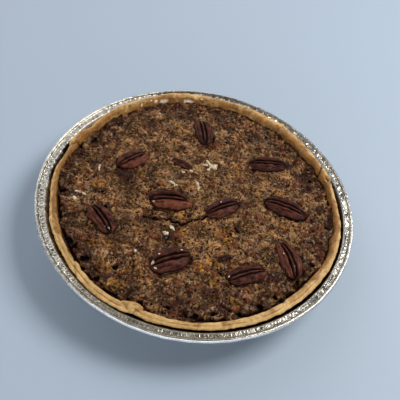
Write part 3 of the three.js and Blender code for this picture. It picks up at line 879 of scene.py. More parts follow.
def bake_crust():
    mesh = rounded(crust_cage(), 2)
    mesh.name = "pastry_crust_baked"
    close_holes(mesh)
    x, y, z = points_of(mesh)
    nx, ny, nz = normals_of(mesh)
    radius = np.maximum(np.hypot(x, y), 1e-6)
    degrees = np.degrees(np.arctan2(y, x)) % 360
    across = (rim_radius(degrees) - RIM_ROLL - radius) / crust_across(degrees)
    front = smooth(0.1, 0.9, -np.sin(np.radians(degrees)))
    back = smooth(-0.3, 0.9, np.sin(np.radians(degrees)))
    at_broad_rim = bell(turn_between(degrees, BROAD_RIM), 20)
    visible = smooth(18, 22, z)
    on_top = smooth(-0.2, 0.4, nz)

    valley, lift = seamed(x, y, z, degrees, across)
    curl_crease, curl_top = curled(x, y)
    valley = valley + 2 * curl_crease
    lift = lift + 0.9 * curl_top
    groove_line = 0.4 + groove_drift(degrees)
    crease = fold_groove(degrees) * bell(across - groove_line, 0.045)
    crease = crease * smooth(-0.6, 0.1, wobble(x, y, 0, 9, 12))
    dough = 0.42 * wobble(x, y, z, 8, 13) + 0.3 * wobble(x, y, z, 3.6, 14) + 0.24 * wobble(x, y, z, 1.6, 15)
    move = visible * (dough + lift - valley * (0.4 + 0.6 * on_top) - 0.28 * crease * on_top)

    facing_in = smooth(0.1, 0.7, -(nx * x + ny * y) / radius)
    # painted shade on the underside of the outer lip
    under_rim = smooth(0.4, -0.3, nz) * (1 - facing_in)
    above = z - FILLING_HEIGHT + 2 * wobble(x, y, 0, 5, 16)
    # where the pastry meets the filling: burnt there, with painted shade as well
    burnt_inside = smooth(0.75, 1.1, across) * smooth(1.2, -0.8, above)
    # browner on the inner slope at the sides: part browning, part painted shade
    browned_inside = smooth(0.3, 0.85, across) * (1 - 0.8 * front) * (1 - 0.75 * back)
    # painted highlights on runs of egg wash
    glossy, halo = washed(x, y, degrees, across)
    shiny = smooth(0.1, 0.5, wobble(x, y, z, 6, 19))
    edges = bell(across - 0.03, 0.12) + 0.7 * bell(across - 0.9, 0.1) * front
    edges = edges * (1 - 0.6 * bell(turn_between(degrees, BROAD_RIM), 25))
    keep_masks(
        mesh,
        # painted shade in the seams and the curl's crease
        burnt=burnt_inside + 0.4 * valley * on_top + 0.8 * curl_crease,
        browned=0.2 - 0.25 * front + 1.3 * browned_inside + 0.5 * halo + 0.55 * crease + 0.4 * valley
        + 0.6 * at_broad_rim * smooth(0.35, 0.9, across) + 0.4 * under_rim
        + 0.5 * wobble(x, y, z, 10, 17) + 0.4 * wobble(x, y, z, 3, 18),
        glaze=shiny * (0.15 + 0.85 * back * smooth(0.5, 0.8, across)),
        glossy=glossy,
        flour=edges * smooth(-0.4, 0.3, wobble(x, y, z, 7, 45)),
    )
    move_points(mesh, x + nx * move, y + ny * move, z + nz * move)
    return finish_piece(mesh, pastry, "pastry", "pastry_crust")


bake_crust()

# %% [markdown]
# ## The pecan halves
# Each half shows its back: two long lobes, two deep grooves and a narrow ridge between them. A ball is
# drawn out into that form by a formula: its blunt and ragged outline, its dome, then the grooves and
# the wrinkles. The two lobes of a half seldom end level, so each half also has an offset.

# %% Pecan halves: material
skin = Finish("pecan_skin", Coat_Weight=0.03, Coat_Roughness=0.16, Specular_IOR_Level=0.08)
dark_skin, skin_speckle = mottled(skin, 4, 0.9, (0.016, 0.004, 0.003), (0.073, 0.022, 0.016))
red_skin, _ = mottled(skin, 4, 0.9, (0.08, 0.019, 0.01), (0.25, 0.078, 0.044))
skin_color = layered(
    dark_skin,
    (skin.mask("ruddy"), red_skin),
    # near black in the grooves, part dark skin and part painted shade, and painted shade low on the sides
    (skin.mask("groove"), (0.004, 0.0015, 0.001)),
    (ramp(skin.mask("bare"), 0.4, 0.6), (0.7, 0.57, 0.42)),  # the pale nut under the skin
)
skin.connect(
    Base_Color=skin_color,
    Roughness=ramp(skin_speckle, 0.3, 0.7, 0.32, 0.55),
    Normal=bump(skin_speckle, 0.25, 0.6),
)

# %% Pecan halves: sizes
PECAN_THICKNESS = 0.4
PECAN_SINK = 2.8
PECAN_SKIRT = 2.2
PECAN_SHOWN = 0.94  # the filling covers the rest of each side
CHIP_LIFT = 0.9
# x, y, direction, length, width, bend; then how red it is, how much redder its second lobe is, and
# how far the first lobe is ahead of the second
PECANS = [
    (-56, 20, 46, 28, 18, 0, 0.35, 0.3, -1.0),
    (-6, 66, -74, 30, 16.5, 0.5, 0.05, 0.0, 0.6),
    (50.5, 43.3, 10, 34, 17, 0.8, 0.1, 0.0, 1.2),
    (-20, -14, 9, 33, 20, 1, 0.1, 0.95, -2.6),
    (20, -12, 36, 29, 17, 0.6, 0.1, 0.2, 1.0),
    (67.5, 1, -13, 35, 18.5, 1, 0.25, 0.0, -0.8),
    (-65, -41.5, -47, 31, 16.5, 1.2, 0.2, 0.25, 1.2),
    (-10, -65.5, 30, 31, 20, 0.6, 0.2, 0.1, 1.0),
    (44, -65, 29, 31, 15.5, 0.8, 0.2, 0.0, -1.2),
    (72.5, -45.5, -66, 34, 17, 1.8, 0.4, 0.2, 0.8),
]
PECAN_CHIPS = [(-17, 25.5, -22, 17, 7.5, 0.4, 0.2, 0.0, 0.5)]
# Where the skin is chipped off and the pale nut shows: nut, place along and across it, and size
BARE_SPOTS = [
    (2, -0.93, 0.05, 0.1), (4, -0.9, -0.6, 0.07), (5, -0.05, 0.42, 0.04), (7, 0.84, 0.1, 0.07),
    (7, 0.6, -0.2, 0.04), (8, -0.93, 0.25, 0.1), (8, -0.5, 0.55, 0.05), (8, 0.6, 0.5, 0.08),
    (8, -0.8, -0.65, 0.07), (9, -0.85, 0.4, 0.05), (10, 0.45, 0.1, 0.04), (10, -0.2, -0.5, 0.04),
]


def filling_level(x, y):
    outwards = np.minimum(np.hypot(x, y) / FILLING_RADIUS, 1)
    return FILLING_HEIGHT + FILLING_DOME * (1 - outwards**2)


def nut_half_width(nut, along):
    return nut[4] / 2 * np.maximum(1 - along**2, 0) ** 0.38


def nut_bend(nut, along):
    return nut[5] * (1 - along**2) - nut[5] / 2


# %% Pecan halves: shape
NUT_SEGMENTS = 96
NUT_RINGS = 60


def nut_surface(along, across, seed):
    """Height from 0 to 1 over a half, and how deep in a groove the place is."""
    dome = np.maximum(1 - abs(across) ** 2.8, 0) ** 0.5
    middle = 0.2 / np.maximum(1 - along**2, 0.03) ** 0.2
    middle = middle + 0.035 * wobble(along * 4, np.sign(across), seed, 1, 1)
    ends = smooth(1.0, 0.95, abs(along))
    groove = ends * bell(abs(across) - middle, 0.1)
    drift = 0.1 * wobble(along * 2.5, np.sign(across) * 3, seed, 1, 2)
    outer_broken = smooth(-0.4, 0.2, wobble(along * 3, across, seed, 1, 3))
    inner_broken = smooth(0, 0.4, wobble(along * 3, across, seed, 1, 12))
    side = ends * bell(abs(across) - 0.64 - drift, 0.06) * outer_broken
    side = side + ends * bell(abs(across) - 0.45 + drift, 0.035) * inner_broken
    crease = bell(across - 0.02, 0.03) * ends
    height = dome * (1 - 0.65 * groove - 0.22 * side - 0.08 * crease) - 0.07 * bell(across, 0.14)
    return height, np.maximum(1.3 * groove, 0.8 * side)


def bare_spots(number, along, across, ripple):
    """How bare the skin of one nut is."""
    bare = 0
    for nut_number, a, c, size in BARE_SPOTS:
        if nut_number == number:
            off = np.hypot(along - a, (across - c) * 0.6) * (1 + 0.5 * ripple)
            bare = np.maximum(bare, bell(off, size))
    return bare


def shape_nut(name, nut, number, seed, lift=0.0):
    x0, y0, turn, length, width, _, red, second, ahead = nut
    bm = bmesh.new()
    lay_down = Matrix.Rotation(math.pi / 2, 4, "Y")
    bmesh.ops.create_uvsphere(bm, u_segments=NUT_SEGMENTS, v_segments=NUT_RINGS, radius=1, matrix=lay_down)
    bmesh.ops.recalc_face_normals(bm, faces=bm.faces)
    mesh = as_mesh(name + "_skin", bm)
    x, y, z = points_of(mesh)
    along = np.clip(x, -1, 1)
    ring = np.sqrt(np.maximum(1 - along**2, 1e-8))
    side = np.clip(y / ring, -1, 1)
    up = z / ring
    across = np.sign(side) * abs(side) ** 1.35
    height, groove = nut_surface(along, across, seed)
    edge_side = np.sign(across) * 2
    ragged = 1 + 0.13 * wobble(along * 2.2, edge_side, seed, 1, 4)
    ragged = ragged + 0.09 * wobble(along * 6, edge_side, seed, 1, 5)
    notch = 1 - 0.2 * bell(across, 0.22) * smooth(0.6, 1, abs(along))
    lx = PECAN_SHOWN * along * length / 2 * notch + ahead * np.tanh(3 * across) * (1 - 0.3 * along**2)
    ly = PECAN_SHOWN * across * nut_half_width(nut, along) * ragged + nut_bend(nut, along)

    streak = wobble(lx * 0.22 + ly * 0.3, ly, seed, 0.9, 9)
    wrinkles = 0.22 * wobble(lx, ly * 0.4, seed, 1.3, 6) + 0.45 * wobble(lx, ly, seed, 4, 7)
    wrinkles = wrinkles + 0.12 * wobble(lx, ly, seed, 0.8, 8) + 0.2 * streak
    dome = ring**0.7 * height
    top = PECAN_SKIRT + (width * PECAN_THICKNESS - PECAN_SKIRT) * dome + ring * wrinkles
    skirt = PECAN_SKIRT * (1 - np.minimum(-up * 2.5, 1))
    at_tip = ring < 0.01
    lz = np.where(at_tip, 0.6 * PECAN_SKIRT, np.where(up < -0.01, skirt, top))

    second_lobe = smooth(-0.12, -0.32, across)
    ruddy = red + second * second_lobe + 0.55 * streak + 0.3 * wobble(lx, ly, seed, 5, 10)
    keep_masks(
        mesh,
        ruddy=np.clip(ruddy, 0, 1),
        # the grooves, part dark skin and part painted shade, and painted shade where the dome falls low at
        # the sides
        groove=np.clip(np.maximum(groove, 0.7 * smooth(0.5, 0.12, dome)), 0, 0.96),
        bare=bare_spots(number, along, across, wobble(lx, ly, seed, 1, 11)),
    )
    move_points(mesh, lx, ly, lz)
    place = Matrix.Translation((x0, y0, filling_level(x0, y0) - PECAN_SINK + lift))
    mesh.transform(place @ Matrix.Rotation(math.radians(turn), 4, "Z"))
    return finish_piece(mesh, skin, "pecan", name)


for number, nut in enumerate(PECANS, 1):
    shape_nut(f"pecan_half_{number:02d}", nut, number, 3.7 * number)
for number, nut in enumerate(PECAN_CHIPS, 1):
    shape_nut(f"pecan_chip_{number:02d}", nut, 0, 50.0 + number, CHIP_LIFT)

# %% [markdown]
# ## The filling
# Chopped nuts rise in the custard and bake into a rough, porous top. A flat grid is drawn out into a
# round, its height is worked out point by point, and its edge is pulled down and closed below. The
# height is a sum of what happens in baking: broad crags, rubble of chopped nuts with gaps between, pores
# where bubbles broke, cracks, hollows at the crust, and the dents in which the nuts lie. Each of
# these also leaves its mark in a mask, which the material reads.

# %% Filling: what lies where
CRAGS = [(13, 0.6, 0), (6, 0.5, 40)]  # size, height and where each begins, as in the solid
CRAG_SEED = 11
PITS = [  # broad hollows along the rim: x, y, radius, depth
    (-88, -56, 8, 2.4), (-68, -75, 7, 2.2), (-58, -84, 6, 2), (-30, -94, 6, 1.8), (1, -98, 7, 2.2),
    (55, -84, 6, 1.8), (96, -25, 6, 2), (85, 40, 7, 2.2),
]
HOLES = [  # small deep ones: x, y, radius
    (-87, -59, 3), (-67, -76, 3.2), (-72, -80, 3), (-55, -90, 3), (-32, -101, 2.5), (13.3, -103.5, 3.2),
    (7.5, -104, 1.9), (-5, -101, 2.2), (25, -98.5, 2.2), (56, -87, 3), (85, 48, 1.6), (87, 37, 1.8),
    (98, 32, 1.6), (100, -9, 1.6), (65, -77, 2.5), (42, -95, 2.5), (-95, -46, 3), (-97, -36, 2.5),
    (-64, -30, 2), (-77, -68, 3), (-67, -84, 3), (-72, -17, 2), (-56, -42, 1.8), (25, -67, 1.8), (83, -5, 2),
    (3, 61, 1.6), (34, 68, 1.6), (-91, 35, 2.4), (-45, -79, 2.2), (90, -45, 2.5), (79, -63, 2.5),
    (-99, -22, 2.5), (-81, -64, 2.5), (-15, -47.5, 2.2),
]
MAIN_CRACK = [
    (-36, -33), (-30, -32), (-25, -33), (-20, -31.5), (-17, -29.5), (-14, -32), (-11, -31.5), (-8, -34),
    (-5, -32.5), (-1, -27), (3, -26.5), (7, -25), (11, -19),
]
SIDE_CRACKS = [
    [(-45, -22), (-40, -25.5), (-36, -26), (-31, -26.5), (-30, -29)],
    [(35, -43), (40, -45.5), (43, -48.5), (48, -49)],
    [(31, -26), (33, -29), (35, -31)],
    [(-48, -38), (-43, -40), (-38, -42)],
]
CRACKS = [(0.95, MAIN_CRACK)] + [(0.4, line) for line in SIDE_CRACKS]  # half the width, and the line
# Pieces of nut under the surface: x, y, direction, length, width, how far they stand out, how clear
SUNKEN = [
    (-51, 64, 35, 13, 9, 1.3, 0.8), (-58, 4, 10, 15, 10, 1.5, 0.8), (-37, 17, 20, 12, 8, 0.9, 0.3),
    (-50, -55, 8, 18, 9, 1.3, 0.8), (-33, -36, 5, 12, 5, 1.0, 0.9), (21, -84, -4, 14, 7, 1.5, 0.7),
    (62, -63, 15, 9, 8, 1, 0.9), (27, -56, 30, 13, 6, 1.5, 1.0), (35, -4, 10, 9, 5, 0.7, 0.9),
    (-15, -46, 30, 10, 7, 0.2, 0.9), (-41, -10, -30, 10, 5, 0.6, 0.5), (-94, 55, 60, 8, 5, 0.6, 0.6),
]
# Patches of another colour: x, y and radius
HONEY = [
    (-9, -24, 2.6), (23, -35, 5), (69, -15.5, 4), (20, -62, 4), (-53, -79, 5), (-41, -92, 5), (-64, -63, 4),
    (-53, -60.5, 4), (-38, -80, 3), (11, -66, 4), (-7, -40, 3.5), (28, -41, 4), (22, -75, 4), (38, -87, 4),
    (67, -79, 4), (-46.5, 7, 4), (-23.5, 67, 3), (-74, 16, 3), (-75, -11, 4), (29, 30, 4),
]
ASH = [
    (-94, 44, 14), (-40, 16, 6), (-30, 85, 12), (-77, 62, 14), (86, 36, 8), (48, -47, 5), (39, -31, 4),
    (-24, 10, 5), (28, -88, 7), (40, 75, 14), (10, 90, 12), (-83, 7, 10),
]
PLUM = [
    (-54, -2.5, 7), (-62, 6, 5), (-71, 3.5, 4), (-78, 19, 4), (-13, -42, 5), (-49, -39, 5), (37, -84, 6),
    (64, -61, 5), (22, -83, 5), (-69, -71, 7), (-84, -64, 6), (80, 36, 5), (85, 26, 4), (-105, 20, 5),
    (98, -30, 5), (-20, 92, 5), (-103, 2, 5), (-101, -14, 5), (-103, -24, 4), (-97, 12, 4), (-92, 46, 5),
]
print(len(CRACKS), "cracks,", len(HOLES), "holes and", len(SUNKEN), "sunken pieces of nut")

# %% [markdown]
# The solid's own crags come from the same formula as here, so that the two surfaces agree, and the
# smaller forms are added to them.

# %% Filling: distances


def lumps(x, y):
    i, j = np.floor(x), np.floor(y)
    fx, fy = smooth(0, 1, x - i), smooth(0, 1, y - j)

    def corner(ci, cj):
        s = np.sin(ci * 127.1 + cj * 311.7 + CRAG_SEED) * 43758.5453
        return s - np.floor(s)

    low = corner(i, j) * (1 - fx) + corner(i + 1, j) * fx
    high = corner(i, j + 1) * (1 - fx) + corner(i + 1, j + 1) * fx
    return 2 * (low * (1 - fy) + high * fy) - 1


def off_line(x, y, line):
    """Distance from each place to a jointed line."""
    best = 1e9
    for (ax, ay), (bx, by) in zip(line, line[1:]):
        dx, dy = bx - ax, by - ay
        t = np.clip(((x - ax) * dx + (y - ay) * dy) / (dx * dx + dy * dy), 0, 1)
        best = np.minimum(best, np.hypot(x - ax - t * dx, y - ay - t * dy))
    return best


def in_frame(x, y, x0, y0, degrees):
    """Places measured along and across something that lies at x0, y0 in a direction."""
    turn = math.radians(degrees)
    dx, dy = x - x0, y - y0
    return dx * math.cos(turn) + dy * math.sin(turn), dy * math.cos(turn) - dx * math.sin(turn)


def off_nut(x, y, nut):
    """Distance from each place to the outline of a nut, less than 0 inside it."""
    lx, ly = in_frame(x, y, nut[0], nut[1], nut[2])
    along = np.clip(lx / (nut[3] / 2), -1, 1)
    beyond = np.maximum(abs(lx) - nut[3] / 2, 0)
    beside = abs(ly - nut_bend(nut, along)) - nut_half_width(nut, along)
    inside = np.maximum(beside, abs(lx) - nut[3] / 2)
    return np.where(beyond > 0, np.hypot(beyond, np.maximum(beside, 0)), inside)


def off_nuts(x, y):
    """Distance to the nearest nut on the filling, and how much a place lies on its near side."""
    near = 99.0
    below = 0
    for nut in PECANS + PECAN_CHIPS:
        off = off_nut(x, y, nut)
        below = np.where(off < near, smooth(4, -6, y - nut[1]), below)
        near = np.minimum(near, off)
    return near, below


def off_cracks(x, y):
    off = 9.0
    for half_width, line in CRACKS:
        off = np.minimum(off, off_line(x, y, line) - half_width)
    return off


def off_holes(x, y):
    off = 9.0
    for hx, hy, r in HOLES:
        off = np.minimum(off, np.hypot(x - hx, (y - hy) * 1.15) - 0.85 * r)
    return off


def patched(x, y, patches):
    """1 in the middle of a round patch, and 0 far from them all."""
    return np.maximum.reduce([bell(np.hypot(x - px, y - py), r) for px, py, r in patches])


# %% [markdown]
# A place that has been moved by noise is called bent or shaken here, and what is drawn at it gets crooked
# edges. Each call of `wobble` has a seed of its own, so that no two patterns follow each other.

# %% Filling: height and masks
RUBBLE_SIZE = 4.6
RUBBLE_RELIEF = 0.75
WHOLE_PIECES = 0.84  # the bits of rubble with a number above this stay whole
GRIT_SIZE = 2.1
GRIT_RELIEF = 0.55
GAP_DEPTH = 0.7
GRIT_GAP_DEPTH = 0.3
PORE_SPACING = 3.0
PORE_DEPTH = 1.1
CRACK_DEPTH = 2.6
HOLE_DEPTH = 2.6
EDGE_DEPTH = 2.6
SOCKET_DEPTH = 1.2
COLLAR_HEIGHT = 1.2
UNDER_NUTS = 1.4


def sunken_nuts(x, y):
    """How far the sunken nuts lift the filling, where their skin shows, and the shade painted along their
    near side.
    """
    shaken_x = x + 1.3 * wobble(x, y, 0, 3.5, 33)
    shaken_y = y + 1.3 * wobble(x, y, 0, 3.5, 34)
    lift = 0
    cover = 0
    outline = 0
    for sx, sy, turn, length, width, stand, clear in SUNKEN:
        lx, ly = in_frame(shaken_x, shaken_y, sx, sy, turn)
        reach = np.hypot(lx / length, ly / width) * 2
        groove = bell(abs(ly) / width * 2 - 0.3, 0.12)
        lift = lift + 1.3 * stand * smooth(1.05, 0.5, reach) * (1 - 0.4 * groove)
        cover = np.maximum(cover, clear * smooth(1.05, 0.85, reach))
        # painted shadow along the near side of each sunken piece
        outline = np.maximum(outline, 0.8 * clear * bell(reach - 1.08, 0.09) * smooth(3, -3, y - sy))
    return lift, cover, outline


def filling_top(x, y):
    """Height of the filling's top, and its masks."""
    radius = np.hypot(x, y)
    from_wall = inner_edge(np.degrees(np.arctan2(y, x))) - radius
    calm = smooth(0, 0.08, 1 - radius / FILLING_RADIUS)
    front = smooth(-50, 70, -y - 0.3 * x)
    crags = sum(h * lumps(x / s + o, y / s) for s, h, o in CRAGS)
    pits = [(depth, bell(np.hypot(x - px, y - py), r)) for px, py, r, depth in PITS]
    in_pit = np.maximum.reduce([share for _, share in pits])
    lift, nut_cover, outline = sunken_nuts(x, y)
    height = calm * (crags - sum(depth * share for depth, share in pits)) + lift

    bent_x = x + 1.6 * wobble(x, y, 0, 4, 20) + 0.6 * wobble(x, y, 0, 1.6, 21)
    bent_y = y + 1.6 * wobble(x, y, 0, 4, 22) + 0.6 * wobble(x, y, 0, 1.6, 23)
    lump, _, border = cells(bent_x, bent_y, RUBBLE_SIZE, 24)
    whole = lump > WHOLE_PIECES
    piece = whole * smooth(0.04, 0.12, border)
    gap = smooth(0.2, 0.02, border) * np.maximum(smooth(-0.1, 0.4, wobble(x, y, 0, 9, 25)), 0.9 * whole)
    grit, _, grit_border = cells(bent_x, bent_y, GRIT_SIZE, 26)
    grit_gap = smooth(0.2, 0.02, grit_border)
    pore_choice, pore_off, _ = cells(bent_x, bent_y, PORE_SPACING, 27)
    pore_radius = 0.12 + 0.2 * pore_choice
    pore = smooth(pore_radius, pore_radius - 0.12, pore_off) * (pore_choice > 0.45)
    pore = pore * smooth(-0.5, 0.1, wobble(x, y, 0, 14, 28))

    to_hole = off_holes(bent_x, bent_y) + 0.5 * wobble(x, y, 0, 1.8, 56)
    to_crack = off_cracks(0.5 * (x + bent_x), 0.5 * (y + bent_y)) - 0.25 * wobble(x, y, 0, 5, 29)
    ragged_wall = from_wall + 1.5 * wobble(x, y, 0, 5, 30) + 0.8 * wobble(x, y, 0, 2, 38)
    hollow_here = smooth(-0.1, 0.25, wobble(x, y, 0, 11, 39) + 0.25 * front)
    to_edge = ragged_wall - (1.2 + 1.2 * front) * hollow_here
    hole = smooth(0.5, -1, to_hole)
    crack = smooth(0.4, -0.5, to_crack)
    edge = smooth(0.7, -0.7, to_edge) * hollow_here
    climb = 1.2 * smooth(3, 0, from_wall) * (1 - hollow_here)

    near, below = off_nuts(x, y)
    socket = bell(near - 0.3, 0.8) * smooth(-0.6, 0.1, wobble(x, y, 0, 3.5, 31)) * (0.4 + 0.6 * below)
    collar = bell(near - 0.9, 1.6) * smooth(-0.4, 0.2, wobble(x, y, 0, 5, 32)) * (1 - 0.8 * socket)
    under = smooth(-0.4, -1.8, near)

    relief = RUBBLE_RELIEF * (lump - 0.5) + GRIT_RELIEF * (grit - 0.5) * (1 - piece) + 0.5 * piece
    relief = relief + 0.4 * wobble(x, y, 0, 2.6, 35) + 0.4 * wobble(x, y, 0, 6, 55)
    relief = relief - GAP_DEPTH * gap - GRIT_GAP_DEPTH * grit_gap * (1 - piece) - PORE_DEPTH * pore
    relief = relief - HOLE_DEPTH * hole - CRACK_DEPTH * crack - EDGE_DEPTH * edge + climb
    relief = relief - SOCKET_DEPTH * socket + COLLAR_HEIGHT * collar
    rough = (1 - 0.75 * nut_cover) * (1 - under)
    height = height + rough * relief - UNDER_NUTS * under

    # painted shade in the gaps and pores
    dark = rough * np.maximum.reduce([0.45 * gap, 0.1 * grit_gap * (1 - piece), 0.9 * pore])
    plum = 0.8 * wobble(x, y, 0, 9, 50) + 0.7 * wobble(x, y, 0, 3, 51) + 0.5 * smooth(45, 5, from_wall)
    # plum is a dark reddish colour, and in the pits and round the holes it is painted shade as well
    plum = smooth(0.5, 0.8, plum) + 0.9 * in_pit * smooth(-0.5, 0.1, wobble(x, y, 0, 4, 54))
    plum = plum + 0.9 * smooth(4.5, 0.5, to_hole) * smooth(-0.5, 0.2, wobble(x, y, 0, 3, 52))
    honey = 0.2 * front * (grit > 0.8) + 0.25 * front * wobble(x, y, 0, 6, 36)
    masks = {
        # painted shade: gaps, pores and the dents round the nuts, strongest on their near side, and the
        # painted shadow of the sunken pieces
        "dark": np.maximum.reduce([dark, 0.95 * socket, outline]),
        # painted shade: black in the holes, cracks and hollows at the crust
        "to_black": np.clip(np.minimum.reduce([to_hole, to_crack, to_edge + 3 * (1 - hollow_here)]), -3, 3),
        "nut": nut_cover,
        "plum": np.clip(np.maximum(plum, 1.2 * patched(bent_x, bent_y, PLUM)), 0, 1),
        "bitty": 0.4 + 0.4 * smooth(45, 88, radius) + 0.35 * wobble(x, y, 0, 12, 53),
        "honey": honey + patched(bent_x, bent_y, HONEY),
        "ash": 0.7 * patched(bent_x, bent_y, ASH) + 0.5 * (lump > 0.8) + 0.35 * wobble(x, y, 0, 8, 37),
        "red": 1.0 * ((lump > 0.9) | (grit < 0.1)) * (1 - nut_cover),
        "tan": 1.0 * ((grit > 0.95) | (whole & (lump < 0.86))) * (1 - nut_cover),
        "relief": 0.5 + 0.4 * (height - climb),
    }
    return filling_level(x, y) + height, masks


# %% [markdown]
# The material starts from a mottled brown and bits of six browns, and lays the other colours over them,
# most of them by mask. The pores, gaps, holes, cracks and wrinkles are painted dark as shade, and low
# places darker too; the same pores, gaps and wrinkles also sink the bump, so that paint and shape agree.

# %% Filling: material
crumb = Finish("baked_filling", Coat_Roughness=0.14, Specular_IOR_Level=0.05)
brown, brown_speckle = mottled(crumb, 6, 1.6, (0.36, 0.16, 0.055), (0.7, 0.385, 0.145))
grey, _ = mottled(crumb, 4, 1.1, (0.07, 0.033, 0.026), (0.26, 0.145, 0.105))
amber, _ = mottled(crumb, 3, 1.2, (0.52, 0.2, 0.02), (0.95, 0.46, 0.06))
maroon, _ = mottled(crumb, 3, 1.0, (0.028, 0.008, 0.006), (0.11, 0.033, 0.022))
russet, _ = mottled(crumb, 3, 1.0, (0.13, 0.032, 0.012), (0.38, 0.11, 0.045))
bit_tone, bit_gap = chopped_up(crumb, 2.4)
fine_tone, fine_gap = chopped_up(crumb, 1.8)


def stepped(level, *steps):
    """One of some colours, each from its own value on."""
    node = put(level.tree, "ValToRGB", Fac=level)
    shades = node.color_ramp
    shades.interpolation = "CONSTANT"
    for element, (start, color) in zip((shades.elements[0], shades.elements[1]), steps):
        element.position = start
        element.color = (*color, 1)
    for start, color in steps[2:]:
        shades.elements.new(start).color = (*color, 1)
    return node.outputs["Color"]


def streaky(millimetres):
    """A grain that is drawn out and curled."""
    return crumb.grain(millimetres, 2.0, 0.6, 1.2)


def wrinkled(millimetres):
    """1 in the thin crooked creases of the baked top."""
    return ramp(abs(streaky(millimetres) - 0.5), 0.008, 0.03, 1.0, 0.0)


bits = stepped(
    bit_tone, (0.0, (0.17, 0.055, 0.02)), (0.13, (0.38, 0.165, 0.055)), (0.36, (0.58, 0.31, 0.112)),
    (0.58, (0.6, 0.265, 0.07)), (0.74, (0.38, 0.19, 0.12)), (0.9, (0.68, 0.44, 0.23)),
)
plum = crumb.mask("plum")
amber_spots = ramp(crumb.mask("honey"), 0.2, 0.55) * ramp(crumb.grain(2, 3), 0.38, 0.55)
light_streaks = ramp(streaky(2.4), 0.6, 0.63, 0.0, 0.35)
dark_streaks = ramp(streaky(2.8), 0.4, 0.375, 0.0, 0.85)
wrinkles = most(wrinkled(5), wrinkled(2.6)) * ramp(crumb.grain(8, 2), 0.33, 0.5)
fine_pores = most(porous(crumb, 3.2), porous(crumb, 2.1)) * ramp(crumb.grain(7, 2), 0.3, 0.5)
gaps = most(bit_gap, 0.5 * fine_gap) * ramp(crumb.grain(11, 2), 0.45, 0.62, 0.0, 0.8)
# painted shade: near black in holes, cracks, hollows at the crust, pores and gaps
blacks = ramp(crumb.mask("to_black") + 1.2 * crumb.grain(1.1), 0.75, 0.45)
darkest = most(crumb.mask("dark"), fine_pores, gaps, blacks)
crumb_color = layered(
    brown,
    (crumb.mask("bitty"), bits),
    (ramp(crumb.mask("ash"), 0.15, 0.8, 0.0, 0.7), grey),
    (0.8 * plum, (0.075, 0.024, 0.013)),
    (ramp(fine_tone, 0.84, 0.88, 0.0, 0.4), (0.7, 0.45, 0.25)),  # a few of the fine bits are light
    (ramp(fine_tone, 0.15, 0.12, 0.0, 0.75), (0.05, 0.013, 0.004)),  # and a few are dark
    (amber_spots, amber),
    (0.7 * crumb.mask("tan"), (0.5, 0.32, 0.17)),
    (0.8 * crumb.mask("red"), russet),
    (crumb.mask("nut"), maroon),
    (ramp(crumb.mask("relief"), 0.0, 0.7, 0.45, 0.0), (0.04, 0.014, 0.005)),  # painted shade in low places
    (light_streaks, (0.62, 0.4, 0.22)),
    (dark_streaks, (0.045, 0.012, 0.004)),
    (0.45 * plum, (0.04, 0.013, 0.009)),  # plum again, so that the streaks don't hide it
    # painted shade in the creases
    (0.85 * wrinkles, (0.04, 0.011, 0.004)),
    (darkest, (0.007, 0.0015, 0.0004)),
)
crumb_height = brown_speckle + 0.8 * bit_tone + light_streaks
crumb_height = crumb_height - 0.9 * darkest - 0.5 * wrinkles - 0.7 * dark_streaks
crumb.connect(
    Base_Color=crumb_color,
    Roughness=ramp(brown_speckle, 0.3, 0.7, 0.4, 0.75),
    Coat_Weight=ramp(crumb.grain(2, 2), 0.5, 0.62, 0.0, 0.32),
    Normal=bump(crumb_height, 0.8, 1.0),
)

# %% Filling: shape
FILLING_CELLS = 305
MIDDLE_HEIGHT = 20  # of the ring of points half-way down the side


def bake_filling():
    bm = bmesh.new()
    bmesh.ops.create_grid(bm, x_segments=FILLING_CELLS, y_segments=FILLING_CELLS, size=1)
    border = [e for e in bm.edges if e.is_boundary]
    for depth in (-1, -2):
        made = bmesh.ops.extrude_edge_only(bm, edges=border)["geom"]
        border = [g for g in made if isinstance(g, bmesh.types.BMEdge) and g.is_boundary]
        for v in {v for e in border for v in e.verts}:
            v.co.z = depth
    bmesh.ops.holes_fill(bm, edges=border, sides=0)
    bmesh.ops.recalc_face_normals(bm, faces=bm.faces)
    mesh = as_mesh("pecan_filling_baked", bm)
    x, y, z = points_of(mesh)
    ux, uy = x * np.sqrt(1 - y**2 / 2), y * np.sqrt(1 - x**2 / 2)
    reach = inner_edge(np.degrees(np.arctan2(uy, ux))) + 0.4
    top, masks = filling_top(ux * reach, uy * reach)
    at_top = z > -0.5
    at_middle = z > -1.5
    shrink = np.where(at_top, 1, np.where(at_middle, 0.93, 0.8))
    height = np.where(at_top, top, np.where(at_middle, MIDDLE_HEIGHT, FOIL + CRUST_FLOOR + 2 * GAP))
    keep_masks(mesh, **masks)
    move_points(mesh, ux * reach * shrink, uy * reach * shrink, height)
    return finish_piece(mesh, crumb, "filling", "pecan_filling")


bake_filling()

# %% [markdown]
# ## Broken nuts
# The pale bits are the inside of broken nuts: angular shards, alone or a few together, half sunk in the
# filling. Each is a ball that is drawn out, turned and roughened, and all of them are one mesh.

# %% Broken nuts: material
kernel = Finish("broken_kernel", Roughness=0.55)
kernel_color, kernel_speckle = mottled(kernel, 2.5, 0.7, (0.42, 0.27, 0.12), (0.86, 0.76, 0.55))
kernel.connect(Base_Color=kernel_color, Normal=bump(kernel_speckle, 0.2, 0.6))

# %% Broken nuts: shape
ROUGHNESS = 0.85
ROUGHNESS_SIZE = 1.3
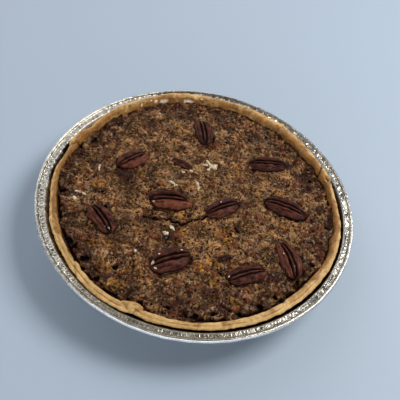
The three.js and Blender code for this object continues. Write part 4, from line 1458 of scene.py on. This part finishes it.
# x, y, direction, length, width and how far each shard stands out
NUT_SHARDS = [
    (7.5, 28.5, -20, 7, 5, 2.4), (3.5, 31.5, -50, 8, 2.6, 2.0), (1, 29, 20, 5, 2.2, 1.6),
    (4.5, 25.5, 60, 6, 2.6, 1.7), (9, 30.5, 40, 4, 2.2, 1.8), (-22, 4, -10, 6, 2.8, 1.5),
    (-18.5, 2.5, 25, 4.5, 2, 1.3), (-2, 7, -60, 6, 2.4, 1.4), (-0.5, 2.5, 70, 5, 1.8, 1.2),
    (1, 5, 10, 3.5, 1.4, 1.1), (-14, -38, -45, 6, 3.8, 1.6), (-11.5, -40.5, -60, 4, 2, 1.2),
    (-17, -44, -35, 5, 3, 1.4), (-89, -27, -25, 5.5, 3.2, 1.4), (-88, -21, -15, 5, 1.8, 1.1),
    (-82.5, -22.5, -30, 5.5, 1.5, 0.9), (-79, 6, -80, 7, 1.6, 1.1), (-15, 16, 5, 4, 1.5, 0.9),
    (-9, 19.5, 10, 3.5, 1.4, 0.8), (18, 70, 0, 1.6, 1.4, 0.8), (-57, -68, 0, 2, 1.6, 0.8),
    (-35, -64, 30, 2, 1.4, 0.8), (-46, 80, 20, 3, 1.2, 0.7), (-11, 83, -70, 4, 1.2, 0.7),
]


def break_nuts():
    bm = bmesh.new()
    for x, y, turn, length, width, stand in NUT_SHARDS:
        height = filling_top(np.array([x]), np.array([y]))[0][0]
        place = Matrix.Translation((x, y, height - 0.4 * stand)) @ Matrix.Rotation(math.radians(turn), 4, "Z")
        size = Matrix.Diagonal((length / 2, width / 2, 1.1 * stand, 1))
        bmesh.ops.create_icosphere(bm, subdivisions=3, radius=1, matrix=place @ size)
    mesh = as_mesh("pale_nut_shards", bm)
    x, y, z = points_of(mesh)
    dx, dy, dz = (ROUGHNESS * wobble(x, y, z, ROUGHNESS_SIZE, seed) for seed in (40, 41, 42))
    move_points(mesh, x + dx, y + dy, z + dz)
    return finish_piece(mesh, kernel, "filling", "pecan_filling")


break_nuts()
